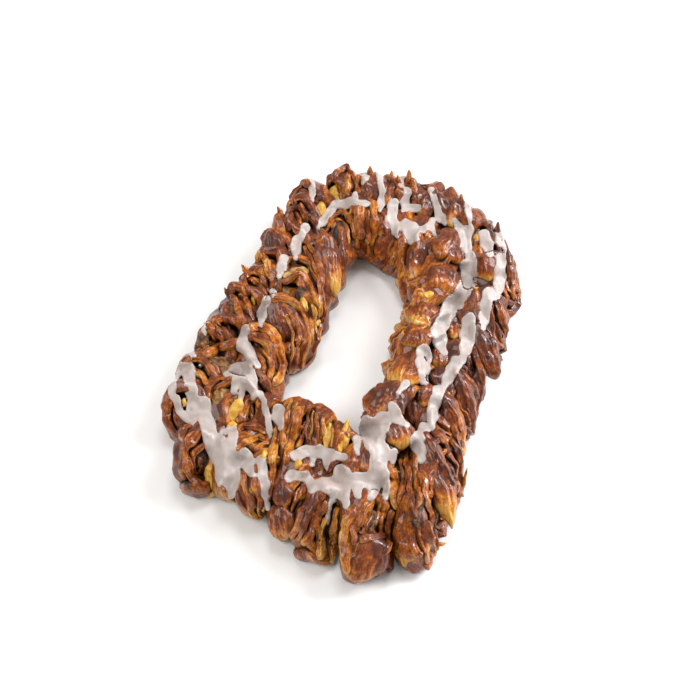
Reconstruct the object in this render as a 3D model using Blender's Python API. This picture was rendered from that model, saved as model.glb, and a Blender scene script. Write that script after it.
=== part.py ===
"""A cinnamon wreath: a filled, rolled dough log bent into an oblong ring, snipped on the slant into
slices that are pulled inwards and outwards in two rows, baked, and drizzled with two lines of icing.

Metres, +Z up. The origin is at the middle of the wreath's box, on the tray that it was baked on.
The wreath is one baked piece, so it is one solid: a flat-bottomed core, the slices and the icing, joined.
"""

import bmesh
import bpy
import numpy as np
from math import cos, pi, radians, sin
from mathutils import Matrix, Vector
from mathutils.bvhtree import BVHTree

MM = 0.001

# The ring's centre line in plan: a superellipse, pulled out of true by hand as a soft log always is.
RING_HALF_WIDTH = 0.0816
RING_HALF_LENGTH = 0.1411
RING_SQUARENESS = 3.77
RING_EGG = (0.033, radians(26.6))
RING_THREE_SIDED = (-0.058, radians(59.8))
RING_SKEW = (-0.051, radians(-55.1))
RING_SHIFT = Vector((0.0, 0.0100))
RING_SAMPLES = 720

# Where the slices lie round the ring, in percent of its length. They are snipped by hand, so unevenly.
OUTER_PLACES = (
    0.0, 4.7, 8.2, 12.3, 15.7, 18.3, 20.5, 22.2, 24.0, 25.6, 27.4, 29.5, 31.6, 34.0, 35.5, 37.0,
    38.8, 41.1, 43.7, 46.5, 49.4, 51.8, 54.0, 56.2, 59.2, 62.4, 65.3, 68.6, 72.2, 75.3, 79.0, 81.8,
    84.0, 86.0, 88.2, 90.6, 93.6, 96.6,
)
INNER_PLACES = (
    1.0, 3.6, 6.0, 8.3, 10.6, 13.0, 16.2, 19.6, 22.0, 24.2, 26.2, 27.8, 29.4, 31.2, 33.6, 37.2,
    40.4, 43.4, 46.6, 51.0, 55.2, 58.2, 61.6, 65.4, 69.4, 72.0, 74.4, 76.8, 79.6, 82.8, 86.0, 89.0,
    92.6, 96.0,
)
BIG_SLICE = ("outer", 31)
BIG_SLICE_SCALE = 1.20

# How each row turns and shifts round the ring: values at these shares of its length, in millimetres.
STATIONS = (0.0, 0.07, 0.12, 0.17, 0.21, 0.26, 0.36, 0.44, 0.50, 0.65, 0.74, 0.84, 1.0)
ROWS = {
    "outer": {
        "side": 1,
        "places": OUTER_PLACES,
        "sway": (0.67, 0.58, 0.52, 0.45, 0.34, 0.20, 0.45, 0.53, 0.59, 0.20, -0.10, 0.35, 0.67),
        "lean": (52, 51, 51, 50, 47, 44, 42, 44, 46, 50, 50, 50, 52),
        "offset": (26, 31, 26, 18, 17, 17, 16, 13, 15, 28, 28, 32, 26),
        "height": (28, 28, 27, 27, 27, 26, 26, 26, 27, 27, 27, 28, 28),
        "half_length": (33, 32, 31, 30, 29, 28, 27, 27, 28, 31, 33, 36, 33),
        "thickness": 19,
    },
    "inner": {
        "side": -1,
        "places": INNER_PLACES,
        "sway": (-0.60, -0.50, -0.46, -0.48, -0.15, 0.10, 0.27, 0.45, 0.59, 0.35, 0.05, -0.30, -0.60),
        "lean": (32, 32, 32, 32, 34, 36, 40, 46, 50, 50, 46, 36, 32),
        "offset": (23, 25, 29, 34, 30, 21, 17, 20, 23, 17, 25, 17, 23),
        "height": (28, 28, 27, 27, 27, 27, 27, 28, 28, 29, 29, 28, 28),
        "half_length": (31, 31, 31, 34, 30, 29, 29, 31, 33, 31, 29, 30, 31),
        "thickness": 17,
    },
}
DROOP_FORWARD = 0.75
DROOP_DOWN = 0.53
WIDTH_SHARE = 0.80

# How far single slices stray from their row: shares of the sizes, sway, degrees of lean, millimetres.
STRAY = {
    "thickness": 0.12,
    "size": 0.06,
    "width": 0.07,
    "sway": 0.08,
    "lean": 6.0,
    "offset": 1.5,
    "height": 1.5,
}

# The relief on each slice's cut face: the rolled sheet's edge, as one spiral ridge beside a groove.
SPIRAL_SIDES = 10
SPIRAL_STEPS = 17
SPIRAL_PITCH = 0.40
SPIRAL_START = (0.9, 0.7)
OUTLINE_RIPPLES = ((3, 0.05), (5, 0.035))
RIDGE_INSET = 0.11
GROOVE_INSET = 0.27
BACK_SHARE = 0.97
RIM_DROP = 2.8 * MM
GROOVE_DEPTH = 4.6 * MM
CENTRE_RISE = 1.5 * MM
RIDGE_UNEVENNESS = 1.2 * MM
SWELL_SIZE = 1.6 * MM
SWELL_LENGTH = 46.0 * MM
SWELL_WAVES = 9

# The uncut core under the slices: across and height, as shares of its reach and of its own height.
CORE_LEAST_REACH = 16.0 * MM
CORE_REACH_SHARE = 0.70
CORE_HEIGHT = 34.5 * MM
CORE_STATIONS = 60
CORE_OUTLINE = ((-1.0, 0.0), (1.0, 0.0), (1.05, 0.35), (0.72, 0.90), (0.0, 1.0), (-0.72, 0.90), (-1.05, 0.35))

# How the dough lies on the tray.
TRAY_CONTACT = 0.8 * MM
TRAY_SOFTNESS = 3.0 * MM
SLUMP = 5.0 * MM
SLUMP_HEIGHT = 30.0 * MM

# The icing: how far outside the centre line each of its two lines runs, in millimetres at the stations.
ICING_OFFSETS = (
    (-7, 1, 0, -8, -12, -14, -9, 1, -5, -15, -8, -16, -7),
    (19, 27, 28, 24, 24, 26, 25, 23, 25, 24, 28, 16, 19),
)
ICING_HALF_WIDTH = 5.5 * MM
ICING_THICKNESS = 1.8 * MM
ICING_DEPTH = 4.0 * MM
ICING_STATIONS = 84
ICING_WANDER = 2.5 * MM
ICING_SAG = 2.0 * MM

TRIANGLE_BUDGET = 11000

CRUST_COLOUR = (0.33, 0.115, 0.028, 1.0)
CRUST_ROUGHNESS = 0.38
ICING_COLOUR = (0.70, 0.62, 0.58, 1.0)
ICING_ROUGHNESS = 0.30


def hashed(index, salt):
    """A steady draw between -1 and 1 that belongs to one slice and one property."""
    value = sin(index * 12.9898 + salt * 78.233) * 43758.5453
    return 2.0 * (value - np.floor(value)) - 1.0


def signed_power(value, power):
    return np.sign(value) * np.abs(value) ** power


class Ring:
    """The log's centre line, read by its share of the whole length, counter-clockwise from +X."""

    def __init__(self):
        angle = np.linspace(0.0, 2.0 * pi, RING_SAMPLES + 1)
        swell = 1.0
        for order, (size, phase) in ((1, RING_EGG), (3, RING_THREE_SIDED), (4, RING_SKEW)):
            swell = swell + size * np.cos(order * angle - phase)
        x = RING_HALF_WIDTH * signed_power(np.cos(angle), 2.0 / RING_SQUARENESS) * swell + RING_SHIFT.x
        y = RING_HALF_LENGTH * signed_power(np.sin(angle), 2.0 / RING_SQUARENESS) * swell + RING_SHIFT.y
        steps = np.hypot(np.diff(x), np.diff(y))
        run = np.concatenate([[0.0], np.cumsum(steps)])
        self.length = run[-1]
        self.share = run / run[-1]
        self.x = x
        self.y = y

    def point(self, share):
        share = share % 1.0
        return Vector((np.interp(share, self.share, self.x), np.interp(share, self.share, self.y), 0.0))

    def frame(self, share, reach=0.012):
        """The point on the line, the way along it and the way out of the ring."""
        along = (self.point(share + reach) - self.point(share - reach)).normalized()
        return self.point(share), along, Vector((along.y, -along.x, 0.0))


class Slice:
    """Where one slice lies and its size. Its own X runs across, Y up along it and Z out of its cut face."""

    def __init__(self, ring, row, index):
        table = ROWS[row]
        self.side = table["side"]
        self.seed = index + (100 if row == "outer" else 200)
        share = table["places"][index] / 100.0
        centre, along, out = ring.frame(share)

        def at(name):
            return np.interp(share, STATIONS, table[name])

        def stray(name):
            return STRAY[name] * hashed(self.seed, 1 + list(STRAY).index(name))

        scale = BIG_SLICE_SCALE if (row, index) == BIG_SLICE else 1.0 + stray("size")
        self.thickness = table["thickness"] * MM * (1.0 + stray("thickness"))
        self.half_length = at("half_length") * MM * scale
        self.half_width = self.half_length * WIDTH_SHARE * (1.0 + stray("width"))
        down = Vector((at("sway") + stray("sway"), -DROOP_FORWARD, -DROOP_DOWN)).normalized()
        lean = radians(at("lean") + stray("lean"))
        face = along * cos(lean) + Vector((0.0, 0.0, sin(lean)))
        face = (face - down * face.dot(down)).normalized()
        place = centre + out * self.side * MM * (at("offset") + stray("offset"))
        place.z = MM * (at("height") + stray("height"))
        axes = Matrix(((-down).cross(face), -down, face)).transposed()
        self.matrix = Matrix.Translation(place) @ axes.to_4x4()


class Swell:
    """The uneven puffing of the dough: a smooth wobble of space, as a sum of seeded sine waves."""

    def __init__(self):
        draw = np.random.default_rng(11)
        way = draw.normal(size=(SWELL_WAVES, 3))
        way /= np.linalg.norm(way, axis=1)[:, None]
        self.way = way * (2.0 * pi / SWELL_LENGTH) * draw.uniform(0.7, 1.4, (SWELL_WAVES, 1))
        self.phase = draw.uniform(0.0, 2.0 * pi, (SWELL_WAVES, 3))
        self.scale = SWELL_SIZE * np.sqrt(2.0 / SWELL_WAVES)

    def moved(self, place):
        angle = self.way @ np.array(place)
        return place + Vector(np.sin(angle[:, None] + self.phase).sum(0) * self.scale)


def settled(height):
    """The height of a point once the dough has slumped and sunk on to the tray."""
    height = height - SLUMP * min(max(1.0 - height / SLUMP_HEIGHT, 0.0), 1.0)
    free = TRAY_CONTACT + TRAY_SOFTNESS
    if height >= free:
        return height
    return TRAY_CONTACT + TRAY_SOFTNESS * np.exp((height - free) / TRAY_SOFTNESS)


def material(name, colour, roughness):
    made = bpy.data.materials.new(name)
    made.use_nodes = True
    shader = made.node_tree.nodes["Principled BSDF"]
    shader.inputs["Base Color"].default_value = colour
    shader.inputs["Roughness"].default_value = roughness
    return made


def object_from(name, mesh, collection, finish):
    mesh.materials.append(finish)
    made = bpy.data.objects.new(name, mesh)
    collection.objects.link(made)
    return made


def slice_mesh(name, piece, swell):
    """One slice: a rim, a back, and a face where the sheet's edge winds in as a ridge beside a groove."""
    start = SPIRAL_START[0] + SPIRAL_START[1] * hashed(piece.seed, 8)
    mesh = bmesh.new()

    def vertex(step, share, depth):
        angle = start + 2.0 * pi * step / SPIRAL_SIDES
        ripple = 1.0 + sum(size * sin(count * (angle + piece.seed)) for count, size in OUTLINE_RIPPLES)
        across = piece.half_width * share * ripple * cos(angle)
        along = piece.half_length * share * ripple * sin(angle)
        place = swell.moved(piece.matrix @ Vector((across, along, depth)))
        place.z = settled(place.z)
        return mesh.verts.new(place)

    face = 0.5 * piece.thickness
    rim = [vertex(step, 1.0, face - RIM_DROP) for step in range(SPIRAL_SIDES)]
    back_rim = [vertex(step, BACK_SHARE, -face) for step in range(SPIRAL_SIDES)]
    back = vertex(0, 0.0, -face)
    ridge = []
    groove = []
    for step in range(SPIRAL_STEPS + 1):
        lift = RIDGE_UNEVENNESS * hashed(piece.seed + step, 9)
        share = 1.0 - SPIRAL_PITCH * step / SPIRAL_SIDES
        ridge.append(vertex(step, share - RIDGE_INSET, face + lift))
        groove.append(vertex(step, share - GROOVE_INSET, face - GROOVE_DEPTH + lift))
    centre = vertex(0, 0.0, face + CENTRE_RISE)

    for step in range(SPIRAL_SIDES):
        after = (step + 1) % SPIRAL_SIDES
        mesh.faces.new((back_rim[step], back_rim[after], rim[after], rim[step]))
        mesh.faces.new((back, back_rim[after], back_rim[step]))
        mesh.faces.new((rim[step], rim[after], ridge[step + 1], ridge[step]))
    for step in range(SPIRAL_STEPS):
        mesh.faces.new((ridge[step], ridge[step + 1], groove[step + 1], groove[step]))
    for step in range(SPIRAL_STEPS - SPIRAL_SIDES):
        after = step + SPIRAL_SIDES
        mesh.faces.new((groove[step], groove[step + 1], ridge[after + 1], ridge[after]))
    mesh.faces.new((rim[0], ridge[0], groove[0], ridge[SPIRAL_SIDES]))
    inner = [*groove[SPIRAL_STEPS - SPIRAL_SIDES :], ridge[SPIRAL_STEPS]]
    for first, second in zip(inner, [*inner[1:], inner[0]]):
        mesh.faces.new((first, second, centre))
    bmesh.ops.triangulate(mesh, faces=mesh.faces[:])
    bmesh.ops.recalc_face_normals(mesh, faces=mesh.faces[:])
    made = bpy.data.meshes.new(name)
    mesh.to_mesh(made)
    mesh.free()
    return made


def swept_ring(name, sections):
    """A closed tube through a loop of sections, each a list of points in the same order."""
    mesh = bmesh.new()
    loops = [[mesh.verts.new(point) for point in section] for section in sections]
    for loop, after in zip(loops, [*loops[1:], loops[0]]):
        for corner in range(len(loop)):
            following = (corner + 1) % len(loop)
            mesh.faces.new((loop[corner], loop[following], after[following], after[corner]))
    bmesh.ops.recalc_face_normals(mesh, faces=mesh.faces[:])
    made = bpy.data.meshes.new(name)
    mesh.to_mesh(made)
    mesh.free()
    return made


def core_mesh(ring):
    """The flat-bottomed ring under and between the slices."""
    sections = []
    for station in range(CORE_STATIONS):
        share = station / CORE_STATIONS
        centre, _, out = ring.frame(share)
        section = []
        for across, height in CORE_OUTLINE:
            row = "outer" if across > 0.0 else "inner"
            reach = CORE_LEAST_REACH + CORE_REACH_SHARE * MM * np.interp(share, STATIONS, ROWS[row]["offset"])
            section.append(centre + out * reach * across + Vector((0.0, 0.0, CORE_HEIGHT * height)))
        sections.append(section)
    return swept_ring("core", sections)


def height_under(tree, place):
    hit = tree.ray_cast(Vector((place.x, place.y, 0.2)), Vector((0.0, 0.0, -1.0)))[0]
    return hit.z if hit else 0.0


def icing_mesh(name, ring, tree, offsets, salt):
    """A line of icing lying along one row: it rides over the crests and sags between them."""
    centres = []
    heights = []
    for station in range(ICING_STATIONS):
        share = station / ICING_STATIONS
        turn = 2.0 * pi * share
        centre, _, out = ring.frame(share)
        offset = MM * np.interp(share, STATIONS, offsets) + ICING_WANDER * sin(9.0 * turn + salt)
        width = ICING_HALF_WIDTH * (1.0 + 0.30 * sin(13.0 * turn + salt))
        middle = centre + out * offset
        centres.append((middle, out, width))
        heights.append([height_under(tree, middle + out * width * across) for across in (-0.9, 0.0, 0.9)])
    heights = np.array(heights)
    bridged = 0.5 * (np.roll(heights, 1, 0) + np.roll(heights, -1, 0)) - ICING_SAG
    sections = []
    for (centre, out, width), (low, middle, high) in zip(centres, np.maximum(heights, bridged)):
        base = max(min(low, middle, high) - ICING_DEPTH, TRAY_CONTACT)
        profile = (
            (-0.8, base),
            (0.8, base),
            (1.0, high + 0.2 * ICING_THICKNESS),
            (0.45, max(high, middle) + ICING_THICKNESS),
            (-0.45, max(low, middle) + ICING_THICKNESS),
            (-1.0, low + 0.2 * ICING_THICKNESS),
        )
        section = [centre + out * width * across + Vector((0.0, 0.0, height)) for across, height in profile]
        sections.append(section)
    return swept_ring(name, sections)


def keep_whole_body(mesh):
    """Drops the loose scraps, and the sealed hollows between slices, that joining leaves."""
    shape = bmesh.new()
    shape.from_mesh(mesh)
    left = set(shape.verts)
    islands = []
    while left:
        reached = [left.pop()]
        for vertex in reached:
            for edge in vertex.link_edges:
                other = edge.other_vert(vertex)
                if other in left:
                    left.remove(other)
                    reached.append(other)
        islands.append(reached)
    islands.sort(key=len)
    for island in islands[:-1]:
        bmesh.ops.delete(shape, geom=island, context="VERTS")
    bmesh.ops.triangulate(shape, faces=shape.faces[:])
    shape.to_mesh(mesh)
    shape.free()


def apply_modifiers(target):
    bpy.context.view_layer.update()
    whole = bpy.data.meshes.new_from_object(target.evaluated_get(bpy.context.evaluated_depsgraph_get()))
    target.modifiers.clear()
    target.data = whole


def join_pieces(target, pieces):
    """One body of everything that touches in the oven."""
    join = target.modifiers.new("joined in the oven", "BOOLEAN")
    join.operation = "UNION"
    join.operand_type = "COLLECTION"
    join.collection = pieces
    join.solver = "MANIFOLD"
    apply_modifiers(target)
    for piece in list(pieces.objects):
        bpy.data.objects.remove(piece)
    bpy.data.collections.remove(pieces)


def thin_out(target):
    """Fewer facets, kept where the shape bends most."""
    thin = target.modifiers.new("fewer facets", "DECIMATE")
    thin.ratio = TRIANGLE_BUDGET / len(target.data.polygons)
    thin.use_collapse_triangulate = True
    apply_modifiers(target)


def build():
    for old in list(bpy.data.objects):
        bpy.data.objects.remove(old)
    scene = bpy.context.scene
    crust = material("baked_crust", CRUST_COLOUR, CRUST_ROUGHNESS)
    icing = material("icing", ICING_COLOUR, ICING_ROUGHNESS)
    pieces = bpy.data.collections.new("pieces_to_join")
    scene.collection.children.link(pieces)
    ring = Ring()
    swell = Swell()

    points = []
    faces = []
    for row, table in ROWS.items():
        for index in range(len(table["places"])):
            name = f"slice_{row}_{index:02d}"
            mesh = slice_mesh(name, Slice(ring, row, index), swell)
            first = len(points)
            points.extend(vertex.co.copy() for vertex in mesh.vertices)
            faces.extend([first + corner for corner in face.vertices] for face in mesh.polygons)
            object_from(name, mesh, pieces, crust)
    tree = BVHTree.FromPolygons(points, faces)
    for line, offsets in enumerate(ICING_OFFSETS):
        object_from(f"icing_{line}", icing_mesh("icing", ring, tree, offsets, 2.0 * line), pieces, icing)

    wreath = object_from("cinnamon_wreath", core_mesh(ring), scene.collection, crust)
    wreath.data.materials.append(icing)
    join_pieces(wreath, pieces)
    keep_whole_body(wreath.data)
    thin_out(wreath)
    wreath.data.shade_smooth()
    wreath.data.set_sharp_from_angle(angle=radians(40))


build()
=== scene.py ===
"""The looks of the cinnamon wreath: every slice as a rolled sheet with its filling, the syrup-glazed crust,
soft yellow dough where slices have torn, and two draped lines of icing. They replace the plain solid, in its
own place."""

from math import cos, pi, radians, sin

import bmesh
import bpy
import numpy as np
from mathutils import Matrix, Vector
from mathutils.bvhtree import BVHTree


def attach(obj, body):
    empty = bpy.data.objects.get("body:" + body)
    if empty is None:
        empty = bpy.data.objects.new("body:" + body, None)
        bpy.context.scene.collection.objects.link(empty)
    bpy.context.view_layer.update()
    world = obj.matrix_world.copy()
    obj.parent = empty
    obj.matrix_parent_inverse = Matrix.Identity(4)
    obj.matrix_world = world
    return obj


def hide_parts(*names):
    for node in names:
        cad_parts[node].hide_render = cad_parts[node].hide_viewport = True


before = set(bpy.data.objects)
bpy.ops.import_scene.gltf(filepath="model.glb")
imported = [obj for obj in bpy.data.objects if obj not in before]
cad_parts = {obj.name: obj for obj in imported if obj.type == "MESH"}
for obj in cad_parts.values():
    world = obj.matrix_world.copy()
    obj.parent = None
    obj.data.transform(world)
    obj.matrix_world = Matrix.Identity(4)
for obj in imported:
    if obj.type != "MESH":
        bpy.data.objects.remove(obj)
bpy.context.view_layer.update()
NODE = "cinnamon_wreath"
BODY = "root"
MM = 0.001

# The ring, with the same values and rules as the solid. Each swelling of it goes round so many times, by a
# share of the ring's size, from this bearing.
RING_HALF_WIDTH = 0.0816
RING_HALF_LENGTH = 0.1411
RING_SQUARENESS = 3.77
RING_SWELLINGS = (
    (1, 0.033, radians(26.6)),
    (3, -0.058, radians(59.8)),
    (4, -0.051, radians(-55.1)),
)
RING_SHIFT = Vector((0.0, 0.0100))
RING_SAMPLES = 720
RING_REACH = 0.012

# Where the slices lie round the ring, in percent of its length.
OUTER_PLACES = (
    0.0, 4.7, 8.2, 12.3, 15.7, 18.3, 20.5, 22.2, 24.0, 25.6, 27.4, 29.5, 31.6, 34.0, 35.5, 37.0,
    38.8, 41.1, 43.7, 46.5, 49.4, 51.8, 54.0, 56.2, 59.2, 62.4, 65.3, 68.6, 72.2, 75.3, 79.0, 81.8,
    84.0, 86.0, 88.2, 90.6, 93.6, 96.6,
)
INNER_PLACES = (
    1.0, 3.6, 6.0, 8.3, 10.6, 13.0, 16.2, 19.6, 22.0, 24.2, 26.2, 27.8, 29.4, 31.2, 33.6, 37.2,
    40.4, 43.4, 46.6, 51.0, 55.2, 58.2, 61.6, 65.4, 69.4, 72.0, 74.4, 76.8, 79.6, 82.8, 86.0, 89.0,
    92.6, 96.0,
)
BIG_SLICE = ("outer", 31)
BIG_SLICE_SCALE = 1.14

# Slices that lie nearer the ring's centre line than their neighbours, or with a minus farther from it, in
# millimetres.
HELD_BACK = {
    "outer": {
        0: 7.0, 4: 1.0, 5: 9.0, 13: -6.0, 14: -3.0, 16: -4.0, 17: -5.0, 18: -2.0, 29: 3.0, 30: 5.0, 31: 6.0,
        34: 4.0, 35: 7.0, 36: 7.0, 37: 8.0,
    },
    "inner": {18: 2.0, 19: 4.0, 20: 4.0},
}

# How each row turns and shifts round the ring: values at these shares of its length.
STATIONS = (0.0, 0.07, 0.12, 0.17, 0.21, 0.26, 0.36, 0.44, 0.50, 0.65, 0.74, 0.84, 1.0)
ROWS = {
    "outer": {
        "side": 1,
        "places": OUTER_PLACES,
        "sway": (0.67, 0.58, 0.52, 0.45, 0.34, 0.20, 0.45, 0.53, 0.59, 0.20, -0.10, 0.35, 0.67),
        "lean": (52, 51, 51, 50, 47, 44, 42, 44, 46, 50, 50, 50, 52),
        "offset": (26, 31, 26, 18, 17, 17, 16, 13, 15, 28, 28, 32, 26),
        "height": (28, 28, 27, 27, 27, 26, 26, 26, 27, 27, 27, 28, 28),
        "half_length": (33, 32, 31, 30, 29, 28, 27, 27, 28, 31, 33, 36, 33),
        "thickness": 19,
        "width": (0.62, 0.64, 0.68, 0.70, 0.70, 0.72, 0.82, 0.86, 0.88, 0.80, 0.64, 0.62, 0.62),
        "turns": (2.9, 3.0, 3.1, 3.3, 3.4, 3.4, 3.1, 2.7, 2.5, 2.8, 3.0, 2.9, 2.9),
        "sag": (0.50, 0.40, 0.30, 0.30, 0.30, 0.20, 0.12, 0.10, 0.10, 0.25, 0.50, 0.60, 0.50),
        "point": (0.1, 0.1, 0.2, 0.5, 0.7, 0.8, 0.5, 0.4, 0.2, 0.1, 0.1, 0.1, 0.1),
        "glaze": (0.9, 0.9, 0.7, 0.5, 0.4, 0.3, 0.2, 0.2, 0.1, 0.1, 0.2, 0.6, 0.9),
        "crumb": (0.0, 0.0, 0.0, 0.1, 0.2, 0.3, 0.2, 0.1, 0.1, 0.3, 0.6, 0.3, 0.0),
        "puff": (2.0, 2.0, 1.8, 1.6, 1.4, 1.4, 1.3, 1.3, 1.3, 1.5, 2.0, 2.0, 2.0),
        "browned": (0.06, 0.08, 0.08, 0.06, 0.04, 0.04, 0.09, 0.12, 0.12, 0.08, 0.0, 0.04, 0.06),
        "dome": (4, 4, 4, 2, 0, -1, -1, -1, -3, -4, 3, 3, 4),
        "hood": (0, 0, 0, 1, 2, 2, 2, 2, 3, 3, 1, 2, 0),
    },
    "inner": {
        "side": -1,
        "places": INNER_PLACES,
        "sway": (-0.60, -0.50, -0.46, -0.48, -0.15, 0.10, 0.27, 0.45, 0.59, 0.35, 0.05, -0.30, -0.60),
        "lean": (32, 32, 32, 32, 34, 36, 40, 46, 50, 50, 46, 36, 32),
        "offset": (23, 25, 29, 34, 30, 21, 17, 20, 23, 17, 25, 17, 23),
        "height": (28, 28, 27, 27, 27, 27, 27, 28, 28, 29, 29, 28, 28),
        "half_length": (31, 31, 31, 34, 30, 29, 29, 31, 33, 31, 29, 30, 31),
        "thickness": 17,
        "width": (0.80, 0.80, 0.80, 0.74, 0.70, 0.70, 0.78, 0.84, 0.86, 0.80, 0.66, 0.70, 0.80),
        "turns": (3.6, 3.6, 3.6, 3.4, 3.2, 3.1, 2.8, 2.5, 2.4, 2.6, 3.0, 3.2, 3.6),
        "sag": (0.10, 0.10, 0.12, 0.25, 0.30, 0.25, 0.12, 0.08, 0.08, 0.12, 0.30, 0.25, 0.10),
        "point": (0.0, 0.0, 0.1, 0.4, 0.6, 0.4, 0.1, 0.0, 0.0, 0.1, 0.4, 0.2, 0.0),
        "glaze": (0.2, 0.1, 0.1, 0.2, 0.3, 0.3, 0.2, 0.1, 0.1, 0.1, 0.1, 0.2, 0.2),
        "crumb": (0.7, 0.7, 0.6, 0.3, 0.2, 0.2, 0.2, 0.1, 0.1, 0.3, 0.8, 0.8, 0.7),
        "puff": (3.4, 3.4, 3.2, 2.6, 2.0, 1.6, 1.3, 1.3, 1.3, 1.6, 2.6, 3.0, 3.4),
        "browned": (0.04, 0.04, 0.04, 0.04, 0.04, 0.06, 0.12, 0.14, 0.14, 0.10, 0.02, 0.02, 0.04),
        "dome": (5, 5, 5, 4, 3, 1, -3, -5, -5, -3, 3, 4, 5),
        "hood": (0, 0, 0, 1, 1, 2, 4, 5, 5, 4, 1, 1, 0),
    },
}
DROOP_FORWARD = 0.75
DROOP_DOWN = 0.53

# How far single slices stray from their row, and the salt of each draw. The first three are shares of a size,
# and lengths are in millimetres.
STRAY = {
    "thickness": (0.12, 1),
    "size": (0.06, 2),
    "width": (0.07, 3),
    "sway": (0.08, 4),
    "lean": (6.0, 5),
    "offset": (1.5, 6),
    "height": (1.5, 7),
    "dome": (2.5, 9),
    "hood": (0.8, 10),
    "sag": (0.08, 17),
    "turns": (0.25, 18),
}
ROW_SEEDS = {"outer": 100, "inner": 200}
HASH = (12.9898, 78.233, 43758.5453)

# A slice's outline and cut face: how often each wave goes round it, its size and its salt.
OUTLINE_WAVES = ((3.0, 0.05, 11), (5.0, 0.035, 12))
PINCH = 0.45
POINT_REACH = 0.10
LEAST_ACROSS = 0.4 * MM
LEAST_ALONG = 1.2 * MM
HOOD_WIDTH = 4.5 * MM
DOME_POWER = 0.8

# The core of bread under the slices, and its outline across: shares of its reach and of its height.
CORE_STATIONS = 400
CORE_LEAST_REACH = 16.0 * MM
CORE_REACH_SHARE = 0.70
CORE_FLUTE = 2.6 * MM
CORE_HEIGHT = 34.5 * MM
CORE_GIRTH = 20.0 * MM
CORE_FOOT = (1.0 * MM, 16.0 * MM)
CORE_FOOT_BROWNED = 0.42
CORE_FOOT_LOSS = 0.27
CORE_FLAT = 4.0 * MM
CORE_OUTLINE = (
    (-1.0, 0.0), (-0.6, 0.0), (-0.2, 0.0), (0.2, 0.0), (0.6, 0.0), (1.0, 0.0), (1.06, 0.12), (1.05, 0.3),
    (1.0, 0.5), (0.85, 0.78), (0.6, 0.93), (0.3, 1.0), (0.0, 1.0), (-0.3, 1.0), (-0.6, 0.93),
    (-0.85, 0.78), (-1.0, 0.5), (-1.05, 0.3), (-1.06, 0.12),
)

TRAY_CONTACT = 0.8 * MM
TRAY_SOFTNESS = 3.0 * MM
SLUMP = 5.0 * MM
SLUMP_HEIGHT = 30.0 * MM

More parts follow.
